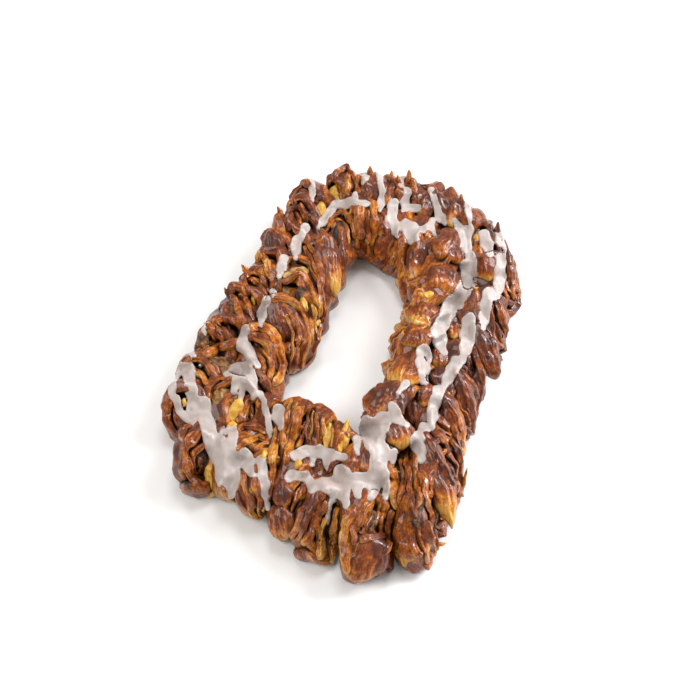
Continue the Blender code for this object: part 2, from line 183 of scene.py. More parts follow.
# The icing as the photograph shows it: each stroke's width and its middle line, in the photograph's pixels.
# Past the photograph's left edge the last ones carry on in the same way.
ICING_STROKES = (
    (6, ((309, 178), (312, 184), (313, 198))), (8, ((349, 202), (335, 205), (328, 214), (320, 225))),
    (9, ((305, 228), (302, 236))), (10, ((296, 241), (296, 254))), (9, ((283, 259), (280, 273))),
    (5.5, ((273, 292), (273, 296))), (8, ((267, 300), (263, 311), (261, 321))),
    (6, ((340, 204), (354, 202), (368, 203))), (5, ((355, 194), (357, 196))), (7, ((367, 175), (364, 181))),
    (6, ((378, 173), (382, 185), (381, 208))), (8, ((401, 178), (401, 182))), (7, ((408, 191), (403, 208))),
    (10, ((393, 204), (392, 218), (393, 224))), (5, ((392, 222), (393, 231))), (5, ((396, 222), (397, 235))),
    (7, ((418, 207), (409, 209))), (11, ((406, 225), (410, 238))), (10, ((413, 228), (415, 236))),
    (6, ((418, 231), (425, 228), (430, 223))), (6.5, ((431, 190), (436, 202), (439, 218))),
    (7, ((442, 217), (444, 220))), (5, ((432, 221), (434, 232))), (6, ((454, 221), (461, 230), (466, 244))),
    (6, ((462, 194), (468, 208), (470, 223))), (9.5, ((468, 230), (465, 242))),
    (8.5, ((467, 244), (471, 259), (474, 272))), (11, ((484, 235), (489, 251))),
    (5.5, ((496, 223), (499, 244))), (4, ((502, 229), (504, 247))),
    (9.5, ((465, 264), (467, 278), (468, 289))),
    (13, ((465, 287), (458, 300), (451, 304), (446, 316), (438, 331), (442, 348))),
    (10, ((501, 257), (500, 277), (498, 293))), (10, ((489, 292), (485, 309), (484, 325))),
    (13, ((469, 320), (468, 338), (464, 355))), (13, ((424, 351), (423, 365), (424, 377))),
    (7, ((407, 383), (400, 391))), (12, ((457, 362), (451, 372), (445, 383))),
    (11, ((438, 391), (433, 408), (432, 423))), (10, ((422, 427), (424, 428))),
    (13, ((418, 438), (416, 440), (421, 455))), (10, ((393, 407), (397, 418), (404, 423))),
    (17, ((382, 421), (376, 434), (374, 445))), (15, ((367, 424), (369, 441))), (7, ((357, 439), (357, 451))),
    (7, ((394, 453), (393, 461))), (11, ((296, 455), (308, 451), (318, 451), (333, 456), (340, 456))),
    (6, ((311, 452), (313, 463))), (6, ((325, 455), (327, 468))),
    (10, ((290, 476), (306, 476), (313, 488), (322, 483), (330, 492))), (16, ((342, 473), (344, 490))),
    (13, ((325, 485), (336, 484), (348, 481))), (11, ((350, 482), (361, 480), (372, 478))),
    (7, ((332, 486), (333, 499))), (10, ((344, 488), (345, 503))), (12, ((357, 478), (358, 492))),
    (16, ((382, 452), (379, 458), (376, 478), (373, 491))), (7, ((386, 473), (386, 496))),
    (3, ((330, 500), (328, 525))), (5, ((264, 485), (267, 507))), (11, ((278, 410), (280, 424))),
    (6, ((261, 394), (266, 410), (270, 435))), (4, ((203, 323), (205, 334))), (7, ((191, 352), (193, 354))),
    (2.5, ((192, 354), (191, 364))), (11, ((188, 369), (190, 384), (193, 400), (193, 416))),
    (14, ((203, 403), (204, 414), (208, 426), (212, 441), (214, 455))),
    (8, ((246, 328), (243, 336), (242, 345))), (13, ((243, 345), (249, 353))), (9, ((250, 354), (256, 363))),
    (9, ((239, 366), (229, 373))), (10, ((243, 368), (238, 378), (235, 389))),
    (10, ((248, 368), (252, 380), (253, 394))), (6, ((244, 373), (243, 386), (241, 397))),
    (7, ((223, 433), (223, 435))), (10, ((232, 430), (234, 442))), (17, ((225, 446), (230, 463), (231, 482))),
    (11, ((231, 478), (231, 492))), (7, ((219, 463), (219, 483))), (13, ((245, 455), (250, 470))),
    (9, ((261, 459), (264, 481), (265, 492))), (8, ((179, 366), (173, 378), (172, 396))),
    (7, ((176, 398), (180, 412), (190, 420))),
)
ICING_HOLE = ((185, 390), 3.0)
ICING_STEP_PIXELS = 0.8
ICING_MERGE_PIXELS = 3.0
ICING_WIDEN = 1.16
ICING_TAPER = 0.42
ICING_RIM_PIXELS = 2.0
ICING_THICKNESS = 1.0 * MM
ICING_DEPTH = 1.5 * MM
ICING_BRIDGE_STEPS = 6
ICING_SMOOTHING = 24
ICING_STEEPEST = 11.0 * MM
ICING_BRIDGE = 6.5 * MM
ICING_LEAST_QUADS = 30
ICING_SPANS = ((160, 512), (164, 536))
ICING_FAR_OUT = -40.0
ICING_LONGER = 0.32
ICING_NOWHERE = -2.0
ICING_LOWEST = 4.0 * MM
ICING_SINK = 0.4 * MM
ICING_SET_IN = 0.3 * MM

# Rounded lumps of dough as the photograph shows them: middle, width, height, degrees turned clockwise, how
# pointed the upper end is, or with a minus the lower one, and how dark each is baked from -1 to 1. Places and
# sizes are in the photograph's pixels.
LUMPS = (
    (366, 192, 13, 20, 0, 0.6, 0.4), (391, 195, 12, 22, 8, 0.6, 0.2), (418, 198, 10, 13, 0, 0.3, 0.5),
    (427, 209, 17, 30, 15, 0.8, 0.4), (443, 203, 13, 26, -22, 0.8, 0.5), (456, 210, 18, 28, 4, 0.9, 0.0),
    (475, 224, 12, 14, 0, 0.5, 0.4), (490, 232, 12, 15, 0, 0.4, 0.4), (428, 232, 10, 16, 0, 0.2, 0.2),
    (449, 241, 24, 30, 18, 0.3, 0.4), (456, 252, 18, 16, 0, 0.5, 0.35), (447, 279, 33, 27, 0, 0.1, 0.2),
    (488, 267, 21, 26, -10, 0.1, 0.0), (477, 251, 12, 16, 0, 0.1, 0.3), (402, 259, 13, 42, 3, 0.3, -0.1),
    (417, 260, 20, 46, 5, 0.6, 0.1), (381, 229, 13, 16, 0, 0.2, 0.1), (381, 247, 12, 20, 0, 0.2, 0.4),
    (379, 397, 42, 36, 22, 0.1, 0.2), (413, 410, 26, 30, -4, 0.2, 0.4), (425, 392, 18, 24, 8, 0.2, 0.1),
    (400, 434, 32, 24, -10, 0.1, 0.0), (369, 458, 20, 26, 5, 0.0, 0.3), (353, 463, 19, 27, 0, 0.5, 0.1),
    (447, 412, 20, 36, -15, 0.3, -0.1), (472, 307, 19, 26, 0, 0.1, 0.0), (455, 335, 18, 30, 4, 0.1, 0.1),
    (438, 363, 20, 26, 8, 0.1, 0.0), (402, 368, 34, 32, 5, 0.1, 0.0), (420, 317, 30, 26, 12, 0.1, -0.3),
    (418, 341, 26, 18, 8, 0.1, -0.2), (279, 523, 30, 34, 0, 0.0, 0.3), (283, 494, 20, 24, 0, 0.1, 0.4),
    (301, 489, 11, 22, 10, 0.2, -0.1), (278, 222, 15, 21, -8, 0.2, 0.1), (274, 243, 19, 25, -5, 0.2, 0.5),
    (374, 411, 14, 17, 20, 0.3, 0.1), (367, 562, 42, 46, 20, -0.5, 0.4), (407, 549, 20, 24, 0, 0.1, 0.1),
    (327, 262, 23, 60, -8, 0.3, 0.0), (343, 265, 15, 39, -4, 0.1, 0.35), (280, 334, 32, 54, -12, 0.3, 0.25),
    (293, 363, 18, 22, -15, 0.0, -0.1), (295, 291, 9, 12, 0, 0.2, 0.2), (310, 419, 9, 21, 0, 0.7, 0.6),
    (319, 425, 12, 26, 0, 0.6, 0.3), (337, 427, 11, 13, 0, 0.1, 0.6), (307, 465, 8, 17, 0, 0.4, 0.3),
    (321, 463, 8, 19, 0, 0.4, 0.1), (360, 435, 7, 10, 0, 0.3, -0.2), (289, 349, 13, 14, 0, 0.0, -0.4),
    (511, 276, 12, 54, -6, 0.3, 0.5), (500, 316, 17, 40, -12, 0.3, 0.7), (508, 334, 12, 38, 6, -0.3, 0.7),
    (487, 350, 22, 52, -22, 0.4, 0.5), (493, 358, 12, 34, -6, -0.4, 0.5), (466, 403, 18, 60, -14, -0.5, 0.5),
    (480, 394, 17, 44, -8, -0.4, 0.5), (454, 424, 20, 58, -18, -0.4, 0.0), (440, 477, 26, 86, -12, -0.7, 0.0),
    (461, 470, 11, 54, -6, -0.3, 0.2), (402, 540, 18, 48, 4, -0.3, 0.1), (422, 530, 16, 50, -6, 0.2, 0.2),
)

# Soft yellow custard that has come out between the layers, given in the same way.
CUSTARD_LUMPS = (
    (337, 194, 15, 17, 0, 0.2), (321, 209, 10, 15, 0, 0.4), (211, 478, 12, 37, 8, 0.2),
    (238, 413, 5, 26, 20, -0.3), (233, 424, 10, 8, 0, 0.0), (274, 407, 5, 17, 5, 0.0),
    (265, 453, 6, 7, 0, 0.0), (304, 306, 8, 14, -10, 0.1), (319, 323, 6, 6, 0, 0.0), (476, 239, 8, 9, 0, 0.0),
    (427, 294, 17, 7, -5, 0.0), (405, 333, 9, 8, 0, 0.0), (477, 288, 8, 6, 0, 0.0), (449, 393, 5, 5, 0, 0.0),
    (328, 433, 10, 27, -3, 0.6), (347, 432, 7, 27, 5, 0.5), (339, 443, 9, 18, 0, 0.2),
    (384, 447, 6, 6, 0, 0.0), (297, 465, 8, 9, 0, 0.0), (253, 299, 5, 12, -5, 0.0), (184, 402, 4, 7, 0, 0.0),
)

# Torn hollows under the hoods of the slices, given in the same way. The last value goes from pale crumb to
# dark paste; its dark end is partly painted shade under the hoods.
HOLLOWS = (
    (296, 271, 24, 10, -15, 0.0, 0.2), (304, 293, 18, 15, -20, 0.0, 0.9), (288, 291, 17, 10, 5, 0.0, 0.5),
    (283, 306, 30, 9, -5, 0.0, 0.3), (223, 366, 30, 18, 5, 0.0, 0.5), (224, 396, 22, 16, 0, 0.0, 0.5),
    (201, 340, 13, 28, 15, 0.0, 0.7), (232, 311, 9, 16, -10, 0.0, 0.7), (200, 457, 11, 14, 0, 0.0, 1.0),
    (336, 232, 12, 22, 0, 0.0, 1.0), (369, 522, 12, 24, 15, 0.0, 0.6), (389, 519, 11, 21, 10, 0.0, 0.9),
    (429, 442, 9, 16, 0, 0.0, 0.7), (418, 507, 11, 32, 5, 0.0, 0.85), (212, 365, 12, 16, 0, 0.0, 0.7),
    (277, 283, 10, 14, 0, 0.0, 0.6),
)

# Long folds of dough: width, how dark each is baked, and the middle line from its upper end.
FOLDS = (
    (7, 0.2, ((333, 182), (339, 171), (346, 166), (353, 174), (357, 185), (356, 194))),
    (6, 0.1, ((346, 171), (348, 187), (350, 197))), (5, 0.1, ((358, 174), (360, 187), (359, 194))),
    (5, -0.2, ((326, 184), (326, 199))), (5, 0.5, ((314, 203), (318, 198), (325, 198), (331, 205))),
    (6, 0.7, ((306, 194), (310, 205), (315, 217))), (9, 0.2, ((299, 203), (303, 214), (308, 224))),
    (5, 0.1, ((294, 211), (298, 218), (302, 226))), (9, 0.9, ((290, 211), (288, 222), (290, 233))),
    (8, -0.5, ((262, 253), (268, 262), (269, 276))), (7, 0.6, ((244, 276), (245, 285), (249, 296))),
    (6, 0.0, ((252, 276), (260, 285), (267, 297))), (5, 0.5, ((259, 273), (265, 283), (271, 295))),
    (5, 0.2, ((241, 286), (247, 296))),
    (6, 0.1, ((299, 241), (304, 239), (311, 246), (317, 258), (320, 272), (323, 285), (324, 311), (322, 326),
     (316, 345), (312, 352))),
    (5, -0.3, ((303, 246), (310, 256), (316, 267), (320, 281), (321, 296))),
    (7, -0.1, ((279, 270), (288, 259), (300, 257), (309, 261), (314, 272), (319, 285), (320, 305),
     (320, 318))),
    (7, 0.0, ((281, 284), (293, 276), (302, 273), (310, 285), (315, 296), (317, 307))),
    (6, 0.0, ((328, 222), (335, 214), (345, 210), (352, 221), (356, 236), (357, 249))),
    (6, -0.4, ((335, 222), (342, 221), (347, 231), (349, 245))),
    (7, 0.0, ((351, 208), (353, 222), (357, 240))), (10, 0.3, ((359, 205), (361, 222), (359, 240))),
    (10, 0.1, ((368, 210), (369, 227), (367, 245))),
    (9, 0.1, ((266, 301), (272, 297), (282, 298), (292, 302), (300, 309), (305, 319), (307, 331), (306, 345),
     (303, 358), (298, 371))),
    (5, 0.1, ((291, 313), (298, 324), (300, 337), (299, 352), (295, 364))),
    (4.5, -0.4, ((285, 313), (291, 325), (294, 338), (293, 352), (289, 362))),
    (5, -0.5, ((312, 303), (316, 314), (315, 334))), (6, -0.5, ((310, 317), (312, 330), (310, 347))),
    (11, -0.2, ((249, 334), (251, 327), (258, 325), (267, 329), (275, 338), (280, 350), (282, 363),
     (279, 377), (273, 387))),
    (8, 0.0, ((254, 341), (261, 346), (268, 357), (271, 370), (270, 383))),
    (6, 0.2, ((257, 352), (262, 362), (264, 376))), (3, -0.7, ((282, 361), (286, 370), (288, 376))),
    (8, 0.2, ((231, 295), (237, 307), (246, 327))), (8, 0.1, ((240, 292), (248, 305), (253, 321))),
    (7, 0.7, ((227, 300), (225, 315), (229, 330))), (7, 0.1, ((208, 320), (214, 333), (219, 345))),
    (4.5, 0.1, ((213, 321), (220, 333), (224, 344))), (5, 0.1, ((217, 321), (225, 331), (230, 342))),
    (4, 0.5, ((202, 321), (191, 337), (190, 351))),
    (11, -0.3, ((205, 361), (211, 351), (223, 345), (236, 344), (246, 351), (255, 362))),
    (6, 0.4, ((190, 356), (198, 356), (207, 362), (213, 373), (215, 381))),
    (9, -0.2, ((196, 371), (204, 378), (211, 388))),
    (12, 0.1, ((207, 403), (208, 394), (216, 383), (226, 378), (235, 380))),
    (12, 0.1, ((240, 425), (242, 414), (248, 402), (256, 393))),
    (9, 0.2, ((238, 433), (244, 428), (252, 426), (261, 428), (268, 434))),
    (8, 0.0, ((244, 446), (251, 440), (259, 436), (266, 440))),
    (7, 0.0, ((255, 453), (260, 446), (267, 443), (271, 445))),
    (7, 0.5, ((192, 425), (185, 430), (183, 442), (184, 458), (188, 470), (195, 483), (201, 492))),
    (5, 0.4, ((196, 431), (190, 436), (187, 444), (187, 456), (191, 468), (196, 479))),
    (6, -0.4, ((208, 439), (201, 443), (194, 450), (192, 458))),
    (8, -0.3, ((277, 426), (275, 441), (273, 454), (272, 470), (271, 487), (268, 503))),
    (8, 0.2, ((287, 408), (285, 429), (282, 446), (280, 462))),
    (10, 0.1, ((296, 405), (299, 412), (296, 429), (290, 446), (286, 465))),
    (5, 0.0, ((303, 425), (298, 435), (293, 446))), (4, -0.5, ((292, 398), (288, 412), (281, 430))),
    (4, 0.4, ((298, 400), (293, 418), (287, 436))), (4, -0.4, ((303, 405), (300, 420), (294, 437))),
    (4, 0.3, ((309, 408), (307, 422), (303, 440))), (4, -0.6, ((313, 411), (313, 426), (310, 442))),
    (4, 0.5, ((317, 411), (318, 424), (317, 442))), (4, -0.3, ((323, 417), (324, 430), (323, 445))),
    (4, -0.7, ((331, 419), (333, 434), (332, 448))), (4, -0.5, ((350, 418), (348, 434), (345, 449))),
    (4, 0.2, ((304, 427), (306, 435), (309, 443))),
    (8, 0.3, ((243, 470), (245, 483), (250, 495), (255, 508))),
    (8, 0.2, ((255, 470), (256, 483), (259, 495), (260, 511))),
    (6, 0.5, ((238, 487), (241, 499), (246, 510))), (5, 0.3, ((222, 480), (225, 493))),
    (7, 0.3, ((328, 474), (331, 466), (338, 462), (342, 463))),
    (13, 0.0, ((355, 504), (349, 520), (346, 540), (345, 558), (349, 574))),
    (7, 0.2, ((364, 503), (358, 516), (354, 530), (353, 545))),
    (10, 0.1, ((372, 497), (367, 510), (362, 524), (360, 536))),
    (8, 0.7, ((358, 541), (367, 537), (378, 537), (388, 535))),
    (7, 0.6, ((430, 428), (437, 433), (444, 444), (448, 455))),
    (8, 0.8, ((318, 489), (310, 512), (298, 543))), (11, 0.3, ((317, 487), (304, 514), (288, 546))),
    (10, 0.2, ((327, 494), (316, 518), (303, 547))), (6, -0.9, ((330, 508), (323, 526), (318, 541))),
    (10, -0.3, ((339, 506), (334, 528), (331, 549))), (6, -0.8, ((345, 515), (343, 532), (339, 549))),
    (12, -0.8, ((322, 537), (317, 559))), (10, -0.6, ((332, 545), (330, 564))),
    (12, 0.0, ((382, 497), (382, 512), (379, 526))), (10, -0.1, ((373, 494), (364, 510), (358, 527))),
    (8, 0.2, ((391, 508), (389, 530), (385, 556))), (8, 0.8, ((428, 436), (441, 462), (455, 487))),
    (6.5, 0.4, ((407, 450), (410, 485), (416, 519))), (6, 0.0, ((415, 452), (416, 476), (420, 500))),
    (10, 0.3, ((421, 470), (427, 500), (430, 532))), (9, 0.5, ((409, 520), (412, 540), (418, 557))),
    (12, 0.4, ((425, 520), (430, 537), (433, 553))), (8, -0.2, ((435, 534), (438, 552))),
    (8, 0.4, ((402, 458), (403, 482), (400, 506))), (11, -0.5, ((391, 466), (393, 488), (397, 509))),
    (6, 0.6, ((509, 264), (513, 282), (514, 300))), (10, 0.9, ((495, 299), (503, 318), (508, 336))),
    (9, 0.5, ((471, 342), (479, 364), (483, 386))), (7, 0.3, ((503, 322), (508, 344))),
    (7, 0.8, ((461, 369), (472, 386), (479, 400))), (7, 0.9, ((445, 399), (454, 416), (462, 433))),
    (10, 0.5, ((450, 440), (457, 453), (462, 466))), (7, 0.6, ((507, 241), (511, 253), (512, 266))),
    (8, 0.6, ((450, 424), (456, 436), (461, 448))), (7, 0.7, ((446, 460), (452, 472), (456, 484))),
    (10, 0.0, ((374, 200), (374, 222), (372, 246))), (5, 0.1, ((410, 174), (413, 184), (417, 192))),
)

# Torn tips that stand up from the dough: the foot, width, height, degrees turned clockwise and how dark each
# is baked.
TIPS = (
    (391, 182, 7, 11, 5, 0.2), (409, 184, 8, 14, 0, 0.1), (399, 184, 6, 9, -10, 0.4),
    (370, 176, 7, 10, 0, 0.0), (435, 198, 7, 10, 5, 0.3), (461, 206, 8, 12, 0, 0.3),
    (497, 233, 7, 11, 5, 0.5), (310, 187, 6, 9, -15, 0.0), (321, 182, 6, 8, 0, 0.2),
    (251, 266, 8, 11, -18, -0.2), (259, 262, 9, 12, -2, -0.3), (247, 272, 7, 9, -35, -0.2),
    (295, 205, 5, 9, -15, 0.2), (463, 486, 5, 18, 12, -0.7), (437, 524, 5, 8, 60, 0.3),
    (438, 545, 5, 7, 80, -0.4), (206, 321, 5, 8, -20, 0.3), (228, 295, 5, 8, -25, 0.4),
    (281, 214, 6, 8, -25, 0.6),
)

# How the dough wobbles: so many waves, whose lengths spread between these shares of one length.
WAVE_COUNT = 9
WAVE_SPREAD = (0.7, 1.4)

# How the slices' rolled sheets are cut. Waves are pairs of a length along the sheet and a size, both in
# millimetres, except that the size of the sheet's own waves is a share of its thickness.
SLICE_SEED = 1000
SPIRAL_SAMPLES = 2400
FIRST_BEARING = (-2.5, -0.7)
PHASE = (0.0, 6.0)
PITCH_SHARE = 0.97
PITCH_FROM = 1.36
PITCH_LOSS = 0.72
SPARE_TURN = 0.3
FIRST_INSET = 0.42
SHEET_STEP = 2.2 * MM
SHEET_SHARE = 0.62
OUTER_SHEET_SHARE = 0.26
LOWER_WAVES = ((60, 0.8), (95, 0.6))
SWAY_WAVES = ((41, 0.6), (17, 0.3))
SHEET_WAVES = ((23, 0.10),)
TEAR_WAVES = ((55, 1.3), (19, 1.0), (7.3, 0.45))
TAPER_LENGTH = 9.0 * MM
TAPER_POWER = 0.6
TAPER_LEAST = 0.30
OUTER_TURN = 1.12
LAYER_DEPTH = 1.5 * MM
LAYER_TURNS = 0.9
EDGE_ROUNDING = 0.9
SWOLLEN = 0.55
# How far back from the cut edge a sheet's sides darken fully: the paste there, together with painted shade
# deep in the gaps.
DARK_DEPTH = 5.0 * MM

# What adds to a slice's browning, or with a minus takes from it.
CRUST_BROWNED = 0.10
EDGE_BROWNED = -0.16
GLAZE_BROWNED = 0.20
LOW_BROWNED = -0.20
UNDER_BROWNED = -0.36
BROWNED_STRAY = 0.08

FILLING_DEPTH = 5.5 * MM
FILLING_RINGS = 12
FILLING_SIDES = 44
FILLING_BACK = 0.35
FILLING_REACH = 0.66
FILLING_REACH_LOSS = 0.9
FILLING_LEAST_REACH = 0.2

# Lumps, hollows and custard.
LUMP_RINGS = 16
LUMP_SIDES = 40
LUMP_SHARE = 0.58
LUMP_SUNK = 1.8 * MM
LUMP_BACK = 5.0 * MM
LUMP_THINNEST = 3.2 * MM
LUMP_THICKEST = 9.5 * MM
LUMP_CREASE = 5.2 * MM
LUMP_CREASE_DEPTH = 0.45 * MM
LUMP_TAPER = 0.75
LUMP_TAPER_POWER = 1.4
LUMP_THICKNESS_SHARE = 0.75
LUMP_BROWNED = 0.18
LUMP_SHADED = 0.22
LUMP_GOLDEN = 0.62
LUMP_CALM = 0.45
LEAST_FACING = 0.6
HOLLOW_THICKNESS = 3.4 * MM
CUSTARD_THICKNESS = 3.6 * MM
LOWEST_SPOT = 6.0 * MM
SPOT_DEPTH = 12.0 * MM

# Folds and tips.
FOLD_LEAST_STATIONS = 14
FOLD_STEP_PIXELS = 2.6
FOLD_LOWEST = 2.0 * MM
FOLD_LEAST_HEIGHT = 2.6 * MM
FOLD_SUNK = 4.5 * MM
FOLD_SET_IN = 0.8 * MM
FOLD_COLUMNS = 15
FOLD_BOW = 0.10
FOLD_BROWNED = -0.02
FOLD_SHADED = 0.26
FOLD_RIM_LOSS = 0.24
FOLD_CALM = 0.3
TIP_STATIONS = 14
TIP_COLUMNS = 12
TIP_ROOT = 0.6
TIP_THICKNESS = 2.1 * MM
TIP_CURL = 2.0 * MM
TIP_SUNK = 1.5 * MM
TIP_BACK = 0.4
TIP_BROWNED = 0.05
TIP_SHADED = 0.25
TIP_LOSS = 0.15

# How far each piece's grain lies from the next one's.
GRAIN_STEP = 0.1

# The camera, from a fit of the photograph's silhouette.
VIEW_AZIMUTH = radians(19.25)
VIEW_ELEVATION = radians(55.8)
VIEW_DISTANCE = 0.9785
VIEW_TARGET = Vector((-0.0010, 0.0076, 0.0)) + RING_SHIFT.to_3d()
IMAGE_PIXELS = 700
FOCAL_PIXELS = 1100
SENSOR_MM = 36.0
NEAREST_SEEN = 0.05
FLOOR_REACH = 6.0
FLOOR_GAP = 0.3 * MM


def hashed(index, salt):
    """A steady draw between -1 and 1 that belongs to one piece and one property."""
    value = sin(index * HASH[0] + salt * HASH[1]) * HASH[2]
    return 2.0 * (value - np.floor(value)) - 1.0


def signed_power(value, power):
    return np.sign(value) * np.abs(value) ** power


def smooth_step(value, low, high):
    share = np.clip((value - low) / (high - low), 0.0, 1.0)
    return share * share * (3.0 - 2.0 * share)


def unit(vectors):
    return vectors / np.linalg.norm(vectors, axis=-1, keepdims=True)


def running(steps):
    """How far along each point lies, from the steps between the points."""
    return np.concatenate([[0.0], np.cumsum(steps)])


def bearings(count):
    return np.linspace(0.0, 2.0 * pi, count, endpoint=False)


class Ring:
    """The log's centre line, read by its share of the whole length, counter-clockwise from +X."""

    def __init__(self):
        angle = np.linspace(0.0, 2.0 * pi, RING_SAMPLES + 1)
        swell = 1.0
        for order, size, phase in RING_SWELLINGS:
            swell = swell + size * np.cos(order * angle - phase)
        power = 2.0 / RING_SQUARENESS
        self.x = RING_HALF_WIDTH * signed_power(np.cos(angle), power) * swell + RING_SHIFT.x
        self.y = RING_HALF_LENGTH * signed_power(np.sin(angle), power) * swell + RING_SHIFT.y
        run = running(np.hypot(np.diff(self.x), np.diff(self.y)))
        self.length = run[-1]
        self.share = run / run[-1]

    def point(self, share):
        share = share % 1.0
        return Vector((np.interp(share, self.share, self.x), np.interp(share, self.share, self.y), 0.0))

    def frame(self, share):
        """The point on the line, the way along it and the way out of the ring."""
        along = (self.point(share + RING_REACH) - self.point(share - RING_REACH)).normalized()
        return self.point(share), along, Vector((along.y, -along.x, 0.0))


class Slice:
    """Where one slice lies and how big it is. Its X runs across, Y up along it and Z out of its cut face."""

    def __init__(self, ring, row, index):
        table = ROWS[row]
        self.seed = index + ROW_SEEDS[row]
        share = table["places"][index] / 100.0
        centre, along, out = ring.frame(share)

        def at(name):
            return np.interp(share, STATIONS, table[name])

        def stray(name):
            size, salt = STRAY[name]
            return size * hashed(self.seed, salt)

        def varied(name):
            return at(name) + stray(name)

        scale = BIG_SLICE_SCALE if (row, index) == BIG_SLICE else 1.0 + stray("size")
        self.thickness = table["thickness"] * MM * (1.0 + stray("thickness"))
        self.half_length = at("half_length") * MM * scale
        self.half_width = self.half_length * at("width") * (1.0 + stray("width"))
        down = Vector((varied("sway"), -DROOP_FORWARD, -DROOP_DOWN)).normalized()
        lean = radians(varied("lean"))
        face = along * cos(lean) + Vector((0.0, 0.0, sin(lean)))
        face = (face - down * face.dot(down)).normalized()
        offset = varied("offset") - HELD_BACK[row].get(index, 0.0)
        place = centre + out * table["side"] * MM * offset
        place.z = MM * varied("height")
        axes = Matrix(((-down).cross(face), -down, face)).transposed()
        self.matrix = Matrix.Translation(place) @ axes.to_4x4()
        self.point = at("point")
        self.glaze = at("glaze")
        self.browned = at("browned")
        self.crumb = at("crumb")
        self.puff = MM * at("puff")
        self.dome = MM * varied("dome")
        self.hood = MM * varied("hood")
        self.turns = varied("turns")
        self.sag = varied("sag")

    def outline(self, angle, inset):
        """The outline in the slice's X and Y, this far in from its edge: an oval with a pinched upper end."""
        wave = 1.0
        for lobes, size, salt in OUTLINE_WAVES:
            wave = wave + size * np.sin(lobes * angle + pi * hashed(self.seed, salt))
        upper = np.clip(np.sin(angle), 0.0, 1.0)
        pinch = 1.0 - PINCH * self.point * upper ** 3
        across = np.maximum(self.half_width - inset, LEAST_ACROSS)
        along = np.maximum(self.half_length - inset, LEAST_ALONG)
        x = across * wave * pinch * np.cos(angle)
        y = along * wave * np.sin(angle) * (1.0 + POINT_REACH * self.point * upper ** 4) - self.sag * inset
        return x, y

    def front(self, inset):
        """How far forward the cut face stands, this far in from its edge: a hood round a dome or a hollow."""
        share = np.clip(inset / self.half_width, 0.0, 1.0)
        hood = self.hood * np.exp(-(inset / HOOD_WIDTH) ** 2)
        return 0.5 * self.thickness + hood + self.dome * share ** DOME_POWER

    def placed(self, local):
        """Points of the slice's own frame, in the wreath's."""
        matrix = np.array(self.matrix)
        return local @ matrix[:3, :3].T + matrix[:3, 3]


def settled(height):
    """The heights of points once the dough has slumped and sunk on to the tray."""
    height = height - SLUMP * np.clip(1.0 - height / SLUMP_HEIGHT, 0.0, 1.0)
    free = TRAY_CONTACT + TRAY_SOFTNESS
    sunk = TRAY_CONTACT + TRAY_SOFTNESS * np.exp((np.minimum(height, free) - free) / TRAY_SOFTNESS)
    return np.where(height >= free, height, sunk)


class Waves:
    """A smooth three-way wobble of space: a sum of seeded sine waves of about one length."""

    def __init__(self, seed, length):
        draw = np.random.default_rng(seed)
        way = unit(draw.normal(size=(WAVE_COUNT, 3)))
        self.way = way * (2.0 * pi / length) * draw.uniform(*WAVE_SPREAD, (WAVE_COUNT, 1))
        self.phase = draw.uniform(0.0, 2.0 * pi, (WAVE_COUNT, 3))
        self.scale = np.sqrt(2.0 / WAVE_COUNT)

    def __call__(self, places):
        angle = places @ self.way.T
        return np.sin(angle[:, :, None] + self.phase[None, :, :]).sum(1) * self.scale


SWELL = Waves(11, 46 * MM)
DENT = Waves(12, 17 * MM)
PUCKER = Waves(13, 6.5 * MM)


def wobbled(points, pucker, dent, swell=0.0):
    """Points moved by the three wobbles of space, by about so many millimetres each."""
    moved = points + pucker * MM * PUCKER(points) + dent * MM * DENT(points)
    return moved + swell * MM * SWELL(points) if swell else moved


def warped(points):
    """Points once the dough has puffed and slumped unevenly."""
    moved = wobbled(points, 0.16, 0.55, 1.6)
    moved[:, 2] = settled(moved[:, 2])
    return moved


class Shell:
    """Gathers closed grids of points, with their shading values, into one mesh."""

    def __init__(self, names):
        self.points = []
        self.quads = []
        self.triangles = []
        self.values = {name: [] for name in names}
        self.weaves = []
        self.count = 0

    def add(self, points, quads, triangles=(), weave=None, **values):
        """One closed piece, kept above the tray, with a value for each of its points or one for all."""
        points = np.array(points)
        points[:, 2] = np.maximum(points[:, 2], 0.0)
        self.points.append(points)
        self.quads.append(np.asarray(quads, int).reshape(-1, 4) + self.count)
        self.triangles.append(np.asarray(triangles, int).reshape(-1, 3) + self.count)
        for name, kept in self.values.items():
            kept.append(np.broadcast_to(np.asarray(values.get(name, 0.0), float), len(points)))
        self.weaves.append(points if weave is None else weave)
        self.count += len(points)

    def build(self, name, finish):
        points = np.concatenate(self.points)
        quads = np.concatenate(self.quads)
        triangles = np.concatenate(self.triangles)
        mesh = bpy.data.meshes.new(name)
        mesh.vertices.add(len(points))
        mesh.vertices.foreach_set("co", points.astype(np.float32).ravel())
        loops = np.concatenate([quads.ravel(), triangles.ravel()])
        mesh.loops.add(len(loops))
        mesh.loops.foreach_set("vertex_index", loops.astype(np.int32))
        sizes = np.concatenate([np.full(len(quads), 4), np.full(len(triangles), 3)])
        mesh.polygons.add(len(sizes))
        mesh.polygons.foreach_set("loop_start", running(sizes)[:-1].astype(np.int32))
        mesh.update(calc_edges=True)
        for value, parts in self.values.items():
            attribute = mesh.attributes.new(value, "FLOAT", "POINT")
            attribute.data.foreach_set("value", np.concatenate(parts).astype(np.float32))
        attribute = mesh.attributes.new("weave", "FLOAT_VECTOR", "POINT")
        attribute.data.foreach_set("vector", np.concatenate(self.weaves).astype(np.float32).ravel())
        mesh.validate()
        mesh.shade_smooth()
        made = bpy.data.objects.new(name, mesh)
        bpy.context.scene.collection.objects.link(made)
        mesh.materials.append(finish)
        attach(made, BODY)
        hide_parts(NODE)
        return made


